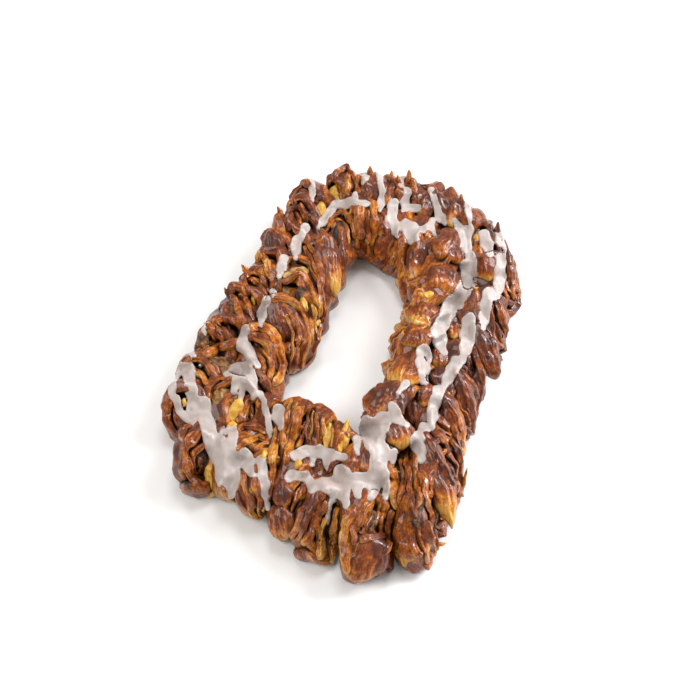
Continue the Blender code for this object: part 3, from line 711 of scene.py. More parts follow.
def grid_quads(rows, columns, closed_rows=False, closed_columns=False):
    """The quads of a grid of points numbered row by row."""
    row = np.arange(rows if closed_rows else rows - 1)
    column = np.arange(columns if closed_columns else columns - 1)
    row, column = np.meshgrid(row, column, indexing="ij")
    after_row = (row + 1) % rows
    after_column = (column + 1) % columns
    corners = (row * columns + column, row * columns + after_column,
               after_row * columns + after_column, after_row * columns + column)
    return np.stack(corners, -1).reshape(-1, 4)


def fan(ring, pole):
    """The triangles between a ring of points and a pole."""
    return np.stack([np.roll(ring, -1), np.full(len(ring), pole), ring], 1)


def tube_faces(rows, columns, turned=False):
    """The quads and triangles of a tube of points, row by row, that the two points after them close."""
    first = np.arange(columns)
    quads = grid_quads(rows, columns, closed_columns=True)
    ends = np.concatenate([
        fan(first, rows * columns)[:, ::-1],
        fan(first + (rows - 1) * columns, rows * columns + 1),
    ])
    return (quads[:, ::-1], ends[:, ::-1]) if turned else (quads, ends)


def with_ends(points, columns):
    """A tube's points, and after them the middles of its first and its last row."""
    return np.concatenate([points, [points[:columns].mean(0), points[-columns:].mean(0)]])


def tube_weave(run, girth, index):
    """Where a tube's points lie along and across its layers, its two end points last."""
    weave = np.stack(np.broadcast_arrays(run[:, None], girth, GRAIN_STEP * index), -1).reshape(-1, 3)
    return np.concatenate([weave, weave[:2]])


def leaf_weave(local, index):
    """Where the points of a lump or a tip lie along and across its layers."""
    return local[:, (1, 0, 2)] + np.array((0.0, 0.0, GRAIN_STEP * index))


def disc_grid(rings, sides, reach=1.0):
    """The shares outward and the bearings of a disc's points, ring by ring."""
    return np.meshgrid(np.linspace(0.0, reach, rings + 1)[1:], bearings(sides), indexing="ij")


def sheet_section():
    """The sheet's outline across: how far across it (-1 inside, 1 outside), how far back from the cut edge
    (0 to 1), and how much of the edge's rounding applies."""
    front = np.linspace(-90.0, 90.0, 9)
    outside = (0.12, 0.25, 0.40, 0.56, 0.72, 0.88)
    back = (90.0, 0.0, -90.0)
    inside = (0.80, 0.52, 0.32, 0.16)
    rows = [(sin(radians(a)), 0.0, (1.0 - cos(radians(a))) ** 2) for a in front]
    rows += [(1.0, depth, 1.0) for depth in outside]
    rows += [(sin(radians(a)), 1.0, cos(radians(a)) - 1.0) for a in back]
    rows += [(-1.0, depth, 1.0) for depth in inside]
    return np.array(rows)


SECTION = sheet_section()
# inside: dark paste on the sheets' sides together with painted shade deep in the gaps and along the edges of
# folds and lumps.
BREAD_VALUES = ("inside", "baked", "calm")


def spread_steps(x, y, step):
    """Which of a curve's points to keep, so that they lie about a step apart, and how far along all lie."""
    run = running(np.hypot(np.diff(x), np.diff(y)))
    marks = np.linspace(0.0, run[-1], int(run[-1] / step) + 1)
    return np.unique(np.searchsorted(run, marks).clip(0, len(run) - 1)), run


def add_slice(shell, piece):
    """One slice: its rolled sheet as a spiral ribbon, whose cut edge is rounded and torn a little."""
    draw = np.random.default_rng(SLICE_SEED + piece.seed)

    def sines(run, waves):
        """Uneven waves along the ribbon, from pairs of a length in millimetres and a size."""
        total = 0.0
        for length, size in waves:
            total = total + size * np.sin(2.0 * pi * run / (length * MM) + draw.uniform(*PHASE))
        return total

    start = draw.uniform(*FIRST_BEARING)
    wound = np.linspace(0.0, 2.0 * pi * piece.turns, SPIRAL_SAMPLES)
    turn = wound / (2.0 * pi)
    pitch = piece.half_width * PITCH_SHARE / (piece.turns + SPARE_TURN)
    pitch = pitch * (PITCH_FROM - PITCH_LOSS * turn / piece.turns)
    inset = running(0.5 * (pitch[1:] + pitch[:-1]) * np.diff(turn)) + FIRST_INSET * pitch[0]
    x, y = piece.outline(start + wound, inset)
    kept, run = spread_steps(x, y, SHEET_STEP)
    x, y, run, inset, pitch, turn, wound = (values[kept] for values in (x, y, run, inset, pitch, turn, wound))
    lower = np.clip(-np.sin(start + wound), 0.0, 1.0) ** 2
    y = y + lower * MM * sines(run, LOWER_WAVES)
    line = np.stack([x, y], 1)
    tangent = unit(np.gradient(line, axis=0))
    outward = np.stack([tangent[:, 1], -tangent[:, 0]], 1)
    line = line + outward * MM * sines(run, SWAY_WAVES)[:, None]

    outermost = np.sqrt(np.clip(OUTER_TURN - turn, 0.0, 1.0))
    taper = TAPER_LEAST + (1.0 - TAPER_LEAST) * np.clip(run / TAPER_LENGTH, 0.0, 1.0) ** TAPER_POWER
    half_sheet = 0.5 * pitch * (SHEET_SHARE + OUTER_SHEET_SHARE * outermost + sines(run, SHEET_WAVES))
    half_sheet = (half_sheet * taper)[:, None]
    tears = MM * sines(run, TEAR_WAVES)
    layered = np.sin(2.0 * pi * LAYER_TURNS * turn + draw.uniform(*PHASE)) * np.clip(turn, 0.0, 1.0)
    front = (piece.front(inset - inset[0]) + tears + LAYER_DEPTH * layered)[:, None]
    outermost = outermost[:, None]
    across, deep, rounding = SECTION.T
    swollen = 1.0 + SWOLLEN * smooth_step(deep, 0.15, 0.75)
    bulge = piece.puff * outermost * np.sin(pi * deep) * (across > 0.5)
    offset = across * half_sheet * swollen + bulge
    depth = front - (0.5 * piece.thickness + front) * deep - rounding * half_sheet * EDGE_ROUNDING
    flat = line[:, None] + outward[:, None] * offset[:, :, None]
    local = with_ends(np.concatenate([flat, depth[:, :, None]], -1).reshape(-1, 3), len(SECTION))

    crust = outermost * np.clip(across * 2.0 + 0.2, 0.0, 1.0)
    # The sheet's sides darken towards paste deeper into the gaps between turns: the cinnamon paste there,
    # together with painted shade.
    inside = np.clip((front - depth) / DARK_DEPTH, 0.0, 1.0) * (1.0 - crust)
    edge = (deep < 0.01) * (1.0 - rounding)
    low = smooth_step(-line[:, 1] / piece.half_length, -0.1, 0.9)[:, None]
    under = smooth_step(deep, 0.25, 0.80) * crust
    baked = CRUST_BROWNED * crust + EDGE_BROWNED * edge * (1.0 - piece.glaze) + GLAZE_BROWNED * piece.glaze
    baked = baked + piece.browned + piece.crumb * (LOW_BROWNED * low + UNDER_BROWNED * under)
    baked = baked + draw.uniform(-BROWNED_STRAY, BROWNED_STRAY)
    girth = running(np.hypot(np.diff(across) * 2.2, np.diff(deep) * 18.0)) * MM
    shell.add(
        warped(piece.placed(local)), *tube_faces(len(run), len(SECTION)),
        inside=np.append(inside.ravel(), (0.3, 0.6)),
        baked=np.append(baked.ravel(), (0.0, 0.0)),
        weave=tube_weave(run, girth, piece.seed),
    )


def add_filling(shell, piece):
    """The paste between a slice's turns, as a rough disc set back from the cut face."""
    reach = max(FILLING_REACH - FILLING_REACH_LOSS / piece.turns, FILLING_LEAST_REACH)
    share, angle = disc_grid(FILLING_RINGS, FILLING_SIDES, reach)
    inset = piece.half_width * (1.0 - share)
    x, y = piece.outline(angle, inset)
    front = np.stack([x, y, piece.front(inset) - FILLING_DEPTH], -1).reshape(-1, 3)
    middle = front[:FILLING_SIDES].mean(0)
    back = np.concatenate([front[-FILLING_SIDES:], [middle]])
    back[:, 2] = -FILLING_BACK * piece.thickness
    points = wobbled(piece.placed(np.concatenate([front, back[:-1], [middle], back[-1:]])), 0.9, 0.8)
    shell.add(warped(points), *tube_faces(FILLING_RINGS + 1, FILLING_SIDES, turned=True))


def add_core(shell, ring):
    """The bread under the slices, flat where it sat on the tray, bulging under each slice."""
    points = []
    weave = []
    for station in range(CORE_STATIONS):
        share = station / CORE_STATIONS
        centre, _, out = ring.frame(share)
        for across, height in CORE_OUTLINE:
            weave.append((across * CORE_GIRTH, share * ring.length, height * CORE_GIRTH))
            row = "outer" if across > 0.0 else "inner"
            reach = CORE_LEAST_REACH + CORE_REACH_SHARE * MM * np.interp(share, STATIONS, ROWS[row]["offset"])
            places = ROWS[row]["places"]
            number = np.interp(100.0 * share, (*places, 100.0 + places[0]), np.arange(len(places) + 1))
            held_back = HELD_BACK[row].get(round(number) % len(places), 0.0) * MM
            reach += CORE_FLUTE * cos(2.0 * pi * number) - held_back
            points.append(centre + out * reach * across + Vector((0.0, 0.0, CORE_HEIGHT * height)))
    points = np.array(points)
    free = np.clip(points[:, 2:] / CORE_FLAT, 0.0, 1.0)
    points = points + free * (wobbled(points, 0.6, 1.0) - points)
    baked = CORE_FOOT_BROWNED - CORE_FOOT_LOSS * smooth_step(points[:, 2], *CORE_FOOT)
    quads = grid_quads(CORE_STATIONS, len(CORE_OUTLINE), True, True)
    shell.add(points, quads[:, ::-1], weave=np.array(weave), baked=baked)


def camera_axes():
    """The camera's way to the right, up, and back from what it sees."""
    level = cos(VIEW_ELEVATION)
    back = Vector((sin(VIEW_AZIMUTH) * level, -cos(VIEW_AZIMUTH) * level, sin(VIEW_ELEVATION)))
    right = Vector((cos(VIEW_AZIMUTH), sin(VIEW_AZIMUTH), 0.0))
    return right, back.cross(right), back


def camera_place():
    return VIEW_TARGET + camera_axes()[2] * VIEW_DISTANCE


def pixel_ways(x, y):
    """The unit ways from the camera through pixels of the photograph."""
    right, up, back = (np.array(axis) for axis in camera_axes())
    x = (np.asarray(x, float)[..., None] - 0.5 * IMAGE_PIXELS) / FOCAL_PIXELS
    y = (0.5 * IMAGE_PIXELS - np.asarray(y, float)[..., None]) / FOCAL_PIXELS
    return unit(right * x + up * y - back)


def seen(tree, x, y):
    """Where a pixel of the photograph lies on the dough: the place, its normal, the face and the distance."""
    return tree.ray_cast(camera_place(), Vector(pixel_ways(x, y)))


def tilted_up(turn):
    """The camera's way up, turned clockwise by these degrees."""
    right, up, _ = camera_axes()
    return up * cos(radians(turn)) + right * sin(radians(turn))


def spot_plane(tree, x, y, width, height):
    """The middle, the normal and the size of a pixel where a spot of the photograph lies on the dough."""
    middle, normal, _, far = seen(tree, x, y)
    if middle is None or middle.z < LOWEST_SPOT:
        return None
    hits = [middle]
    for angle in bearings(12):
        for reach in (0.25, 0.5):
            across = reach * width * cos(angle)
            place, facing, _, distance = seen(tree, x + across, y + reach * height * sin(angle))
            if place is not None and abs(distance - far) < SPOT_DEPTH:
                hits.append(place)
                normal = normal + facing
    return Vector(np.array(hits).mean(0)), normal.normalized(), far / FOCAL_PIXELS


def add_lump(shell, numbered, tree, thickest=LUMP_THICKEST):
    """A rounded lump, half sunk into the dough, browned at its upper end and golden at its lower one; on the
    bread, painted shade darkens its rim where it meets the dough.
    """
    index, (x, y, width, height, turn, point, shade) = numbered
    spot = spot_plane(tree, x, y, width, height)
    if spot is None:
        return
    middle, normal, size = spot
    turned = tilted_up(turn)
    long_way = (turned - normal * turned.dot(normal)).normalized()
    wide_way = long_way.cross(normal)
    half_width = LUMP_SHARE * width * size
    half_height = LUMP_SHARE * height * size / max(long_way.dot(turned), LEAST_FACING)
    thick = min(max(LUMP_THICKNESS_SHARE * min(half_width, half_height), LUMP_THINNEST), thickest)
    share, angle = disc_grid(LUMP_RINGS, LUMP_SIDES)
    along = share * np.sin(angle)
    phase = pi * hashed(index, 41)
    across = share * np.cos(angle)
    pointed = np.clip(along * np.sign(point), 0.0, 1.0) ** LUMP_TAPER_POWER
    across = across * (1.0 - LUMP_TAPER * abs(point) * pointed)
    across = across * (1.0 + 0.06 * np.sin(3.0 * angle + phase))
    crown = np.sqrt(1.0 - share ** 2 * 0.999)
    creases = np.sin(2.0 * pi * across * half_width / LUMP_CREASE + phase + 1.4 * along)
    up = thick * crown + LUMP_CREASE_DEPTH * creases * crown
    local = np.stack([across * half_width, along * half_height, up], -1).reshape(-1, 3)
    back = local[-LUMP_SIDES:] * np.array((0.8, 0.8, 0.0)) - np.array((0.0, 0.0, LUMP_BACK))
    local = with_ends(np.concatenate([local, back]), LUMP_SIDES)
    points = np.array(middle - normal * LUMP_SUNK) + local @ np.array([wide_way, long_way, normal])
    golden = LUMP_GOLDEN * np.clip(1.0 - 1.6 * shade, 0.15, 1.0)
    lower = smooth_step(-local[:, 1] / half_height, 0.0, 0.95)
    brim = np.clip(1.0 - local[:, 2] / thick, 0.0, 1.0)
    shell.add(
        wobbled(points, 0.22, 0.6), *tube_faces(LUMP_RINGS + 1, LUMP_SIDES, turned=True),
        baked=LUMP_BROWNED + LUMP_SHADED * shade - golden * lower,
        # Painted shade: the rim and sunk back of the lump are darkened towards paste.
        inside=0.75 * smooth_step(brim, 0.72, 1.0),
        dark=shade,
        calm=LUMP_CALM,
        weave=leaf_weave(local, index),
    )


def eased_line(line):
    """Points along a smooth line through the given ones, their shares of its length, and that length."""
    line = np.array(line, float)
    run = running(np.hypot(*np.diff(line, axis=0).T))
    count = int(FOLD_LEAST_STATIONS + run[-1] / FOLD_STEP_PIXELS)
    share = np.linspace(0.0, 1.0, count)
    points = np.stack([np.interp(share * run[-1], run, line[:, axis]) for axis in (0, 1)], 1)
    for _ in range(count // 6):
        points[1:-1] = 0.25 * points[:-2] + 0.5 * points[1:-1] + 0.25 * points[2:]
    return points, share, run[-1]


def eased_depths(far):
    """The distances along a fold without the dips and spikes of the dough below it."""
    padded = np.pad(far, 2, mode="edge")
    windows = np.stack([padded[i : i + len(far)] for i in range(5)])
    far = 0.5 * (np.median(windows, 0) + windows.min(0))
    for _ in range(6):
        padded = np.pad(far, 1, mode="edge")
        far = 0.25 * padded[:-2] + 0.5 * padded[1:-1] + 0.25 * padded[2:]
    return far


def add_fold(shell, numbered, tree):
    """A long fold of dough that lies along the surface from its upper to its lower end, with painted shade
    along its edges where it meets the dough.
    """
    index, (width, shade, line) = numbered
    middle, share, length = eased_line(line)
    way = unit(np.gradient(middle, axis=0))
    bow = FOLD_BOW * width * np.sin(0.16 * share * length + index)
    start = camera_place()
    ways = pixel_ways(middle[:, 0] + bow * way[:, 1], middle[:, 1] - bow * way[:, 0])
    hits = [tree.ray_cast(start, Vector(way)) for way in ways]
    far = np.array([hit[3] if hit[0] is not None and hit[0].z > FOLD_LOWEST else np.nan for hit in hits])
    found = np.isfinite(far)
    if found.sum() < 4:
        return
    first, last = np.nonzero(found)[0][[0, -1]]
    kept = slice(first, last + 1)
    far = eased_depths(np.interp(share, share[found], far[found])[kept])
    length = length * (share[last] - share[first])
    share = np.linspace(0.0, 1.0, len(far))
    ways = ways[kept]
    places = np.array(start) + ways * far[:, None]
    tangent = unit(np.gradient(places, axis=0))
    side = unit(np.cross(tangent, -ways))
    rise = np.cross(side, tangent)
    rise = np.where((rise * ways).sum(1, keepdims=True) > 0.0, -rise, rise)
    ends = np.clip(np.minimum(share, 1.0 - share) * length / (0.8 * width), 0.0, 1.0)
    ends = np.sqrt(1.0 - (1.0 - ends) ** 2 * 0.995)
    half = 0.5 * width * far / FOCAL_PIXELS * (1.06 - 0.18 * share) * ends
    high = np.maximum(1.05 * half, FOLD_LEAST_HEIGHT * ends)[:, None]
    turn = np.linspace(0.0, pi, FOLD_COLUMNS)
    groove = 1.0 + 0.15 * np.sin(5.0 * turn + pi * hashed(index, 52))
    across = np.concatenate([np.cos(turn), (-0.8, 0.0, 0.8)])
    above = np.concatenate([np.sin(turn) * groove, np.zeros(3)])
    sunk = np.concatenate([np.zeros(FOLD_COLUMNS), np.ones(3)])
    points = places[:, None] + side[:, None] * (half[:, None] * across)[:, :, None]
    lift = high * above - (FOLD_SUNK + 0.3 * half[:, None]) * sunk - FOLD_SET_IN
    points = (points + rise[:, None] * lift[:, :, None]).reshape(-1, 3)
    columns = len(across)
    run = running(np.linalg.norm(np.diff(places, axis=0), axis=1))
    girth = np.arange(columns) * 0.22 * half.max()
    rim = 0.25 * np.abs(np.cos(turn)) ** 3 + 0.75 * np.clip(np.cos(turn), 0.0, 1.0) ** 2
    pale = FOLD_RIM_LOSS * (1.0 - max(shade, 0.0)) * np.append(rim, np.ones(3))
    baked = FOLD_BROWNED + FOLD_SHADED * shade - pale
    # Painted shade: the fold's lower sides and sunk skirt, where it meets the dough, are darkened towards
    # paste.
    inside = 0.8 * np.clip(1.0 - above * 2.6, 0.0, 1.0)
    shell.add(
        with_ends(wobbled(points, 0.20, 0.5), columns), *tube_faces(len(far), columns),
        baked=np.append(np.tile(baked, len(far)), (0.1, 0.1)),
        inside=np.append(np.tile(inside, len(far)), (0.8, 0.8)),
        calm=FOLD_CALM,
        weave=tube_weave(run, girth, index),
    )


def add_tip(shell, numbered, tree):
    """A torn tip of a layer: a curled leaf that is rooted in the dough and stands up from it."""
    index, (x, y, width, height, turn, shade) = numbered
    foot, _, _, far = seen(tree, x, y)
    if foot is None or foot.z < LOWEST_SPOT:
        return
    back = camera_axes()[2]
    long_way = (tilted_up(turn) + TIP_BACK * back).normalized()
    wide_way = long_way.cross(back).normalized()
    face = wide_way.cross(long_way)
    size = far / FOCAL_PIXELS
    share = np.linspace(-TIP_ROOT, 1.0, TIP_STATIONS)
    bare = np.clip(share, 0.0, 1.0)
    turned = bearings(TIP_COLUMNS)
    half = 0.5 * width * size * (1.0 + 0.12 * np.sin(9.0 * share + index)) * (1.0 - 0.8 * bare ** 1.7)
    thick = TIP_THICKNESS * (1.0 - 0.6 * bare)
    curl = TIP_CURL * hashed(index, 61) * bare ** 2 - TIP_SUNK
    across = half[:, None] * np.cos(turned)
    along = np.broadcast_to((share * height * size)[:, None], across.shape)
    up = thick[:, None] * np.sin(turned) + curl[:, None]
    local = with_ends(np.stack([across, along, up], -1).reshape(-1, 3), TIP_COLUMNS)
    points = np.array(foot) + local @ np.array([wide_way, long_way, face])
    upper_half = local[:, 1] > 0.5 * height * size
    shell.add(
        points, *tube_faces(TIP_STATIONS, TIP_COLUMNS, turned=True),
        baked=TIP_BROWNED + TIP_SHADED * shade - TIP_LOSS * upper_half,
        weave=leaf_weave(local, index),
    )


def stroke_depths(x, y):
    """How far inside the icing's edge each pixel lies, in pixels, with neighbouring strokes run together."""
    depth = np.full(x.shape, ICING_FAR_OUT)
    for width, line in ICING_STROKES:
        (x0, y0), (x1, y1) = line[-2:]
        longer = ICING_LONGER * width / np.hypot(x1 - x0, y1 - y0)
        line = (*line[:-1], (x1 + longer * (x1 - x0), y1 + longer * (y1 - y0)))
        parts = [(x0, y0, x1 - x0, y1 - y0) for (x0, y0), (x1, y1) in zip(line, line[1:])]
        left = sum(np.hypot(across, down) for _, _, across, down in parts)
        stroke = np.full(x.shape, ICING_FAR_OUT)
        for x0, y0, across, down in parts:
            step = np.hypot(across, down)
            share = np.clip(((x - x0) * across + (y - y0) * down) / step ** 2, 0.0, 1.0)
            away = np.hypot(x - x0 - share * across, y - y0 - share * down)
            taper = 1.0 - ICING_TAPER * smooth_step(width - left + share * step, 0.0, width)
            stroke = np.maximum(stroke, 0.5 * width * ICING_WIDEN * taper - away)
            left -= step
        blend = np.clip(0.5 + 0.5 * (stroke - depth) / ICING_MERGE_PIXELS, 0.0, 1.0)
        depth = depth + (stroke - depth) * blend + ICING_MERGE_PIXELS * blend * (1.0 - blend)
    edge = 0.5 * np.sin(0.41 * x + 0.23 * y) + 0.5 * np.sin(0.45 * y - 0.27 * x + 1.0)
    (hole_x, hole_y), hole = ICING_HOLE
    return np.minimum(depth + edge, np.hypot(x - hole_x, y - hole_y) - hole)


def spread_maximum(field, reach):
    """The highest value within a round reach of each grid point."""
    spread = field.copy()
    for down in range(-reach, reach + 1):
        for right in range(-reach, reach + 1):
            if 0 < down * down + right * right <= reach * reach:
                spread = np.maximum(spread, np.roll(field, (down, right), (0, 1)))
    return spread


def blurred(field, rounds):
    for _ in range(rounds):
        for axis in (0, 1):
            field = 0.25 * np.roll(field, 1, axis) + 0.5 * field + 0.25 * np.roll(field, -1, axis)
    return field


def one_sided_slope(places, axis):
    """The change of a grid of places from point to point, read on the side where it is the smaller one."""
    ahead = np.roll(places, -1, axis) - places
    behind = places - np.roll(places, 1, axis)
    nearer = np.linalg.norm(ahead, axis=2) < np.linalg.norm(behind, axis=2)
    return np.where(nearer[:, :, None], ahead, behind)


def biggest_patches(quads, least):
    """The quads of a grid that belong to patches of at least this many quads."""
    parent = {}

    def root(point):
        while parent.setdefault(point, point) != point:
            parent[point] = parent[parent[point]]
            point = parent[point]
        return point

    for quad in quads.tolist():
        first = root(quad[0])
        for point in quad[1:]:
            parent[root(point)] = first
    patches = np.array([root(quad[0]) for quad in quads.tolist()])
    _, number, count = np.unique(patches, return_inverse=True, return_counts=True)
    return quads[count[number] >= least]


def point_uses(quads, shape):
    """How many quads use each point of a grid."""
    return np.bincount(quads.ravel(), minlength=shape[0] * shape[1]).reshape(shape)


def icing_plan():
    """The icing's grid in the photograph's pixels: x, y, how deep inside the edge, and the quads it fills."""
    x, y = (np.arange(*span, ICING_STEP_PIXELS) for span in ICING_SPANS)
    x, y = np.meshgrid(x, y)
    depth = stroke_depths(x, y)
    slope_y, slope_x = np.gradient(depth, ICING_STEP_PIXELS)
    quads = grid_quads(*x.shape)
    quads = quads[(depth.ravel()[quads] > 0.0).sum(1) >= 2]
    uses = point_uses(quads, x.shape)
    rim = (uses > 0) & (uses < 4)
    steep = np.maximum(slope_x ** 2 + slope_y ** 2, 0.25)
    shift = np.where(rim, np.clip(depth, -1.0, 1.0) / steep, 0.0)
    depth = np.where(rim, 0.0, np.maximum(depth, 0.0))
    return x - shift * slope_x, y - shift * slope_y, depth, quads


def icing_nearness(tree, ways, uses):
    """Minus the icing's distance from the camera along each way, with narrow gaps bridged."""
    start = camera_place()
    wanted = spread_maximum((uses > 0).astype(float), ICING_BRIDGE_STEPS + 2) > 0.0
    nearness = np.full(uses.shape, ICING_NOWHERE)
    for row, column in zip(*np.nonzero(wanted)):
        hit = tree.ray_cast(start, Vector(ways[row, column]))
        if hit[0] is not None and hit[0].z > ICING_LOWEST:
            nearness[row, column] = -hit[3]
    closed = -spread_maximum(-spread_maximum(nearness, ICING_BRIDGE_STEPS), ICING_BRIDGE_STEPS)
    nearness = closed
    for _ in range(ICING_SMOOTHING):
        steps = [np.roll(nearness, way, axis) - nearness for way in (-1, 1) for axis in (0, 1)]
        drawn = sum(np.where(np.abs(step) < ICING_STEEPEST, step, 0.0) for step in steps)
        nearness = np.maximum(nearness + 0.2 * drawn, closed - ICING_SINK)
    return nearness


def icing_normals(places, ways):
    """Smooth normals of a grid of places that face the camera."""
    normal = unit(np.cross(one_sided_slope(places, 1), one_sided_slope(places, 0)))
    normal = np.where((normal * ways).sum(2, keepdims=True) > 0.0, -normal, normal)
    return unit(np.stack([blurred(normal[:, :, axis], 3) for axis in range(3)], -1))


def add_icing(shell, tree):
    """The icing: strokes laid on the dough where the camera sees them, with rounded rims."""
    x, y, depth, quads = icing_plan()
    uses = point_uses(quads, x.shape)
    ways = pixel_ways(x, y)
    nearness = icing_nearness(tree, ways, uses)
    places = np.array(camera_place()) - ways * nearness[:, :, None]
    carried = np.zeros(x.shape, bool)
    for row, column in zip(*np.nonzero(uses)):
        carried[row, column] = tree.find_nearest(Vector(places[row, column]), ICING_BRIDGE)[0] is not None
    corners = nearness.ravel()[quads]
    on_dough = carried.ravel()[quads].all(1) & (corners.max(1) - corners.min(1) < ICING_STEEPEST)
    quads = biggest_patches(quads[on_dough], ICING_LEAST_QUADS)
    normal = icing_normals(places, ways)
    crown = np.sqrt(1.0 - (1.0 - np.clip(depth / ICING_RIM_PIXELS, 0.0, 1.0)) ** 2)
    uneven = 1.0 + 0.22 * np.sin(0.31 * x + 0.2 * y) * np.sin(0.27 * y - 0.12 * x)
    thick = ICING_THICKNESS * crown * uneven
    top = places + normal * (thick - ICING_SET_IN)[:, :, None]
    bottom = places - normal * ICING_DEPTH

    used = np.unique(quads)
    number = np.full(x.size, -1)
    number[used] = np.arange(len(used))
    quads = number[quads]
    edges = np.concatenate([quads[:, [i, (i + 1) % 4]] for i in range(4)])
    _, first, count = np.unique(np.sort(edges, 1), axis=0, return_index=True, return_counts=True)
    border = edges[first[count == 1]]
    walls = np.concatenate([border[:, ::-1], border + len(used)], 1)
    points = np.concatenate([top.reshape(-1, 3)[used], bottom.reshape(-1, 3)[used]])
    shell.add(points, np.concatenate([quads, quads[:, ::-1] + len(used), walls])[:, ::-1])


class Finish:
    """A short way to write a node material round one Principled shader. Its methods from attribute on give an
    output, which feeds the next one."""

    def __init__(self, name):
        self.material = bpy.data.materials.new(name)
        self.material.use_nodes = True
        self.nodes = self.material.node_tree.nodes
        self.links = self.material.node_tree.links
        self.shader = self.nodes["Principled BSDF"]

    def node(self, kind, inputs=None, **settings):
        made = self.nodes.new(kind)
        for name, value in settings.items():
            setattr(made, name, value)
        for key, value in (inputs or {}).items():
            self.feed(made.inputs[key], value)
        return made

    def feed(self, socket, value):
        if isinstance(value, bpy.types.NodeSocket):
            self.links.new(value, socket)
        else:
            socket.default_value = value

    def done(self, inputs):
        """The material, once the shader has these inputs."""
        for name, value in inputs.items():
            self.feed(self.shader.inputs[name], value)
        return self.material

    def attribute(self, name):
        return self.node("ShaderNodeAttribute", attribute_name=name).outputs["Fac"]

    def noise(self, scale, detail=3.0, roughness=0.5, vector=None, distortion=0.0):
        inputs = {"Scale": scale, "Detail": detail, "Roughness": roughness, "Distortion": distortion}
        inputs["Vector"] = vector or self.node("ShaderNodeTexCoord").outputs["Object"]
        return self.node("ShaderNodeTexNoise", inputs).outputs["Fac"]

    def ramp(self, value, low, high, start=0.0, end=1.0):
        inputs = {"Value": value, "From Min": low, "From Max": high, "To Min": start, "To Max": end}
        return self.node("ShaderNodeMapRange", inputs).outputs["Result"]

    def math(self, operation, first, second=0.0):
        return self.node("ShaderNodeMath", {0: first, 1: second}, operation=operation).outputs[0]

    def total(self, value, *others):
        for other in others:
            value = self.math("ADD", value, other)
        return value

    def scaled(self, vector, scale):
        return self.node("ShaderNodeVectorMath", {0: vector, 1: scale}, operation="MULTIPLY").outputs[0]

    def colours(self, value, stops):
        """A colour for each value, by stops of a place and a colour."""
        made = self.node("ShaderNodeValToRGB", {0: value})
        elements = made.color_ramp.elements
        elements[0].position, elements[0].color = stops[0]
        elements[1].position, elements[1].color = stops[-1]
        for place, colour in stops[1:-1]:
            elements.new(place).color = colour
        return made.outputs[0]

    def mix(self, share, first, second):
        return self.node("ShaderNodeMix", data_type="RGBA", inputs={0: share, 6: first, 7: second}).outputs[2]

    def bump(self, height, distance, strength=1.0, below=None):
        inputs = {"Height": height, "Distance": distance, "Strength": strength}
        if below is not None:
            inputs["Normal"] = below
        return self.node("ShaderNodeBump", inputs).outputs["Normal"]


ORANGE_CRUST = (0.460, 0.128, 0.009, 1.0)
RED_CRUST = (0.210, 0.043, 0.006, 1.0)
GOLDEN_DOUGH = (0.600, 0.320, 0.060, 1.0)
DARK_CRUST = (0.070, 0.016, 0.008, 1.0)
# The cinnamon paste's colour, also used for painted shade in the dough's crevices and gaps.
PASTE_AND_SHADE = (0.022, 0.008, 0.004, 1.0)
PASTE_CRUMBS = (0.15, 0.066, 0.022, 1.0)
PALE_CRUMB = (0.54, 0.35, 0.12, 1.0)
GOLDEN_CRUMB = (0.36, 0.19, 0.045, 1.0)
BROWN_CRUMB = (0.15, 0.055, 0.014, 1.0)
CUSTARD = (0.700, 0.440, 0.075, 1.0)
BROWNED_CUSTARD = (0.52, 0.25, 0.030, 1.0)
ICING = (0.39, 0.325, 0.300, 1.0)
PALE_ICING = (0.47, 0.420, 0.400, 1.0)
THIN_ICING = (0.40, 0.265, 0.205, 1.0)
FLOOR = (0.86, 0.86, 0.86, 1.0)
SKY_COLOUR = (1.0, 0.965, 0.91, 1.0)
SKY_STRENGTH = 0.38


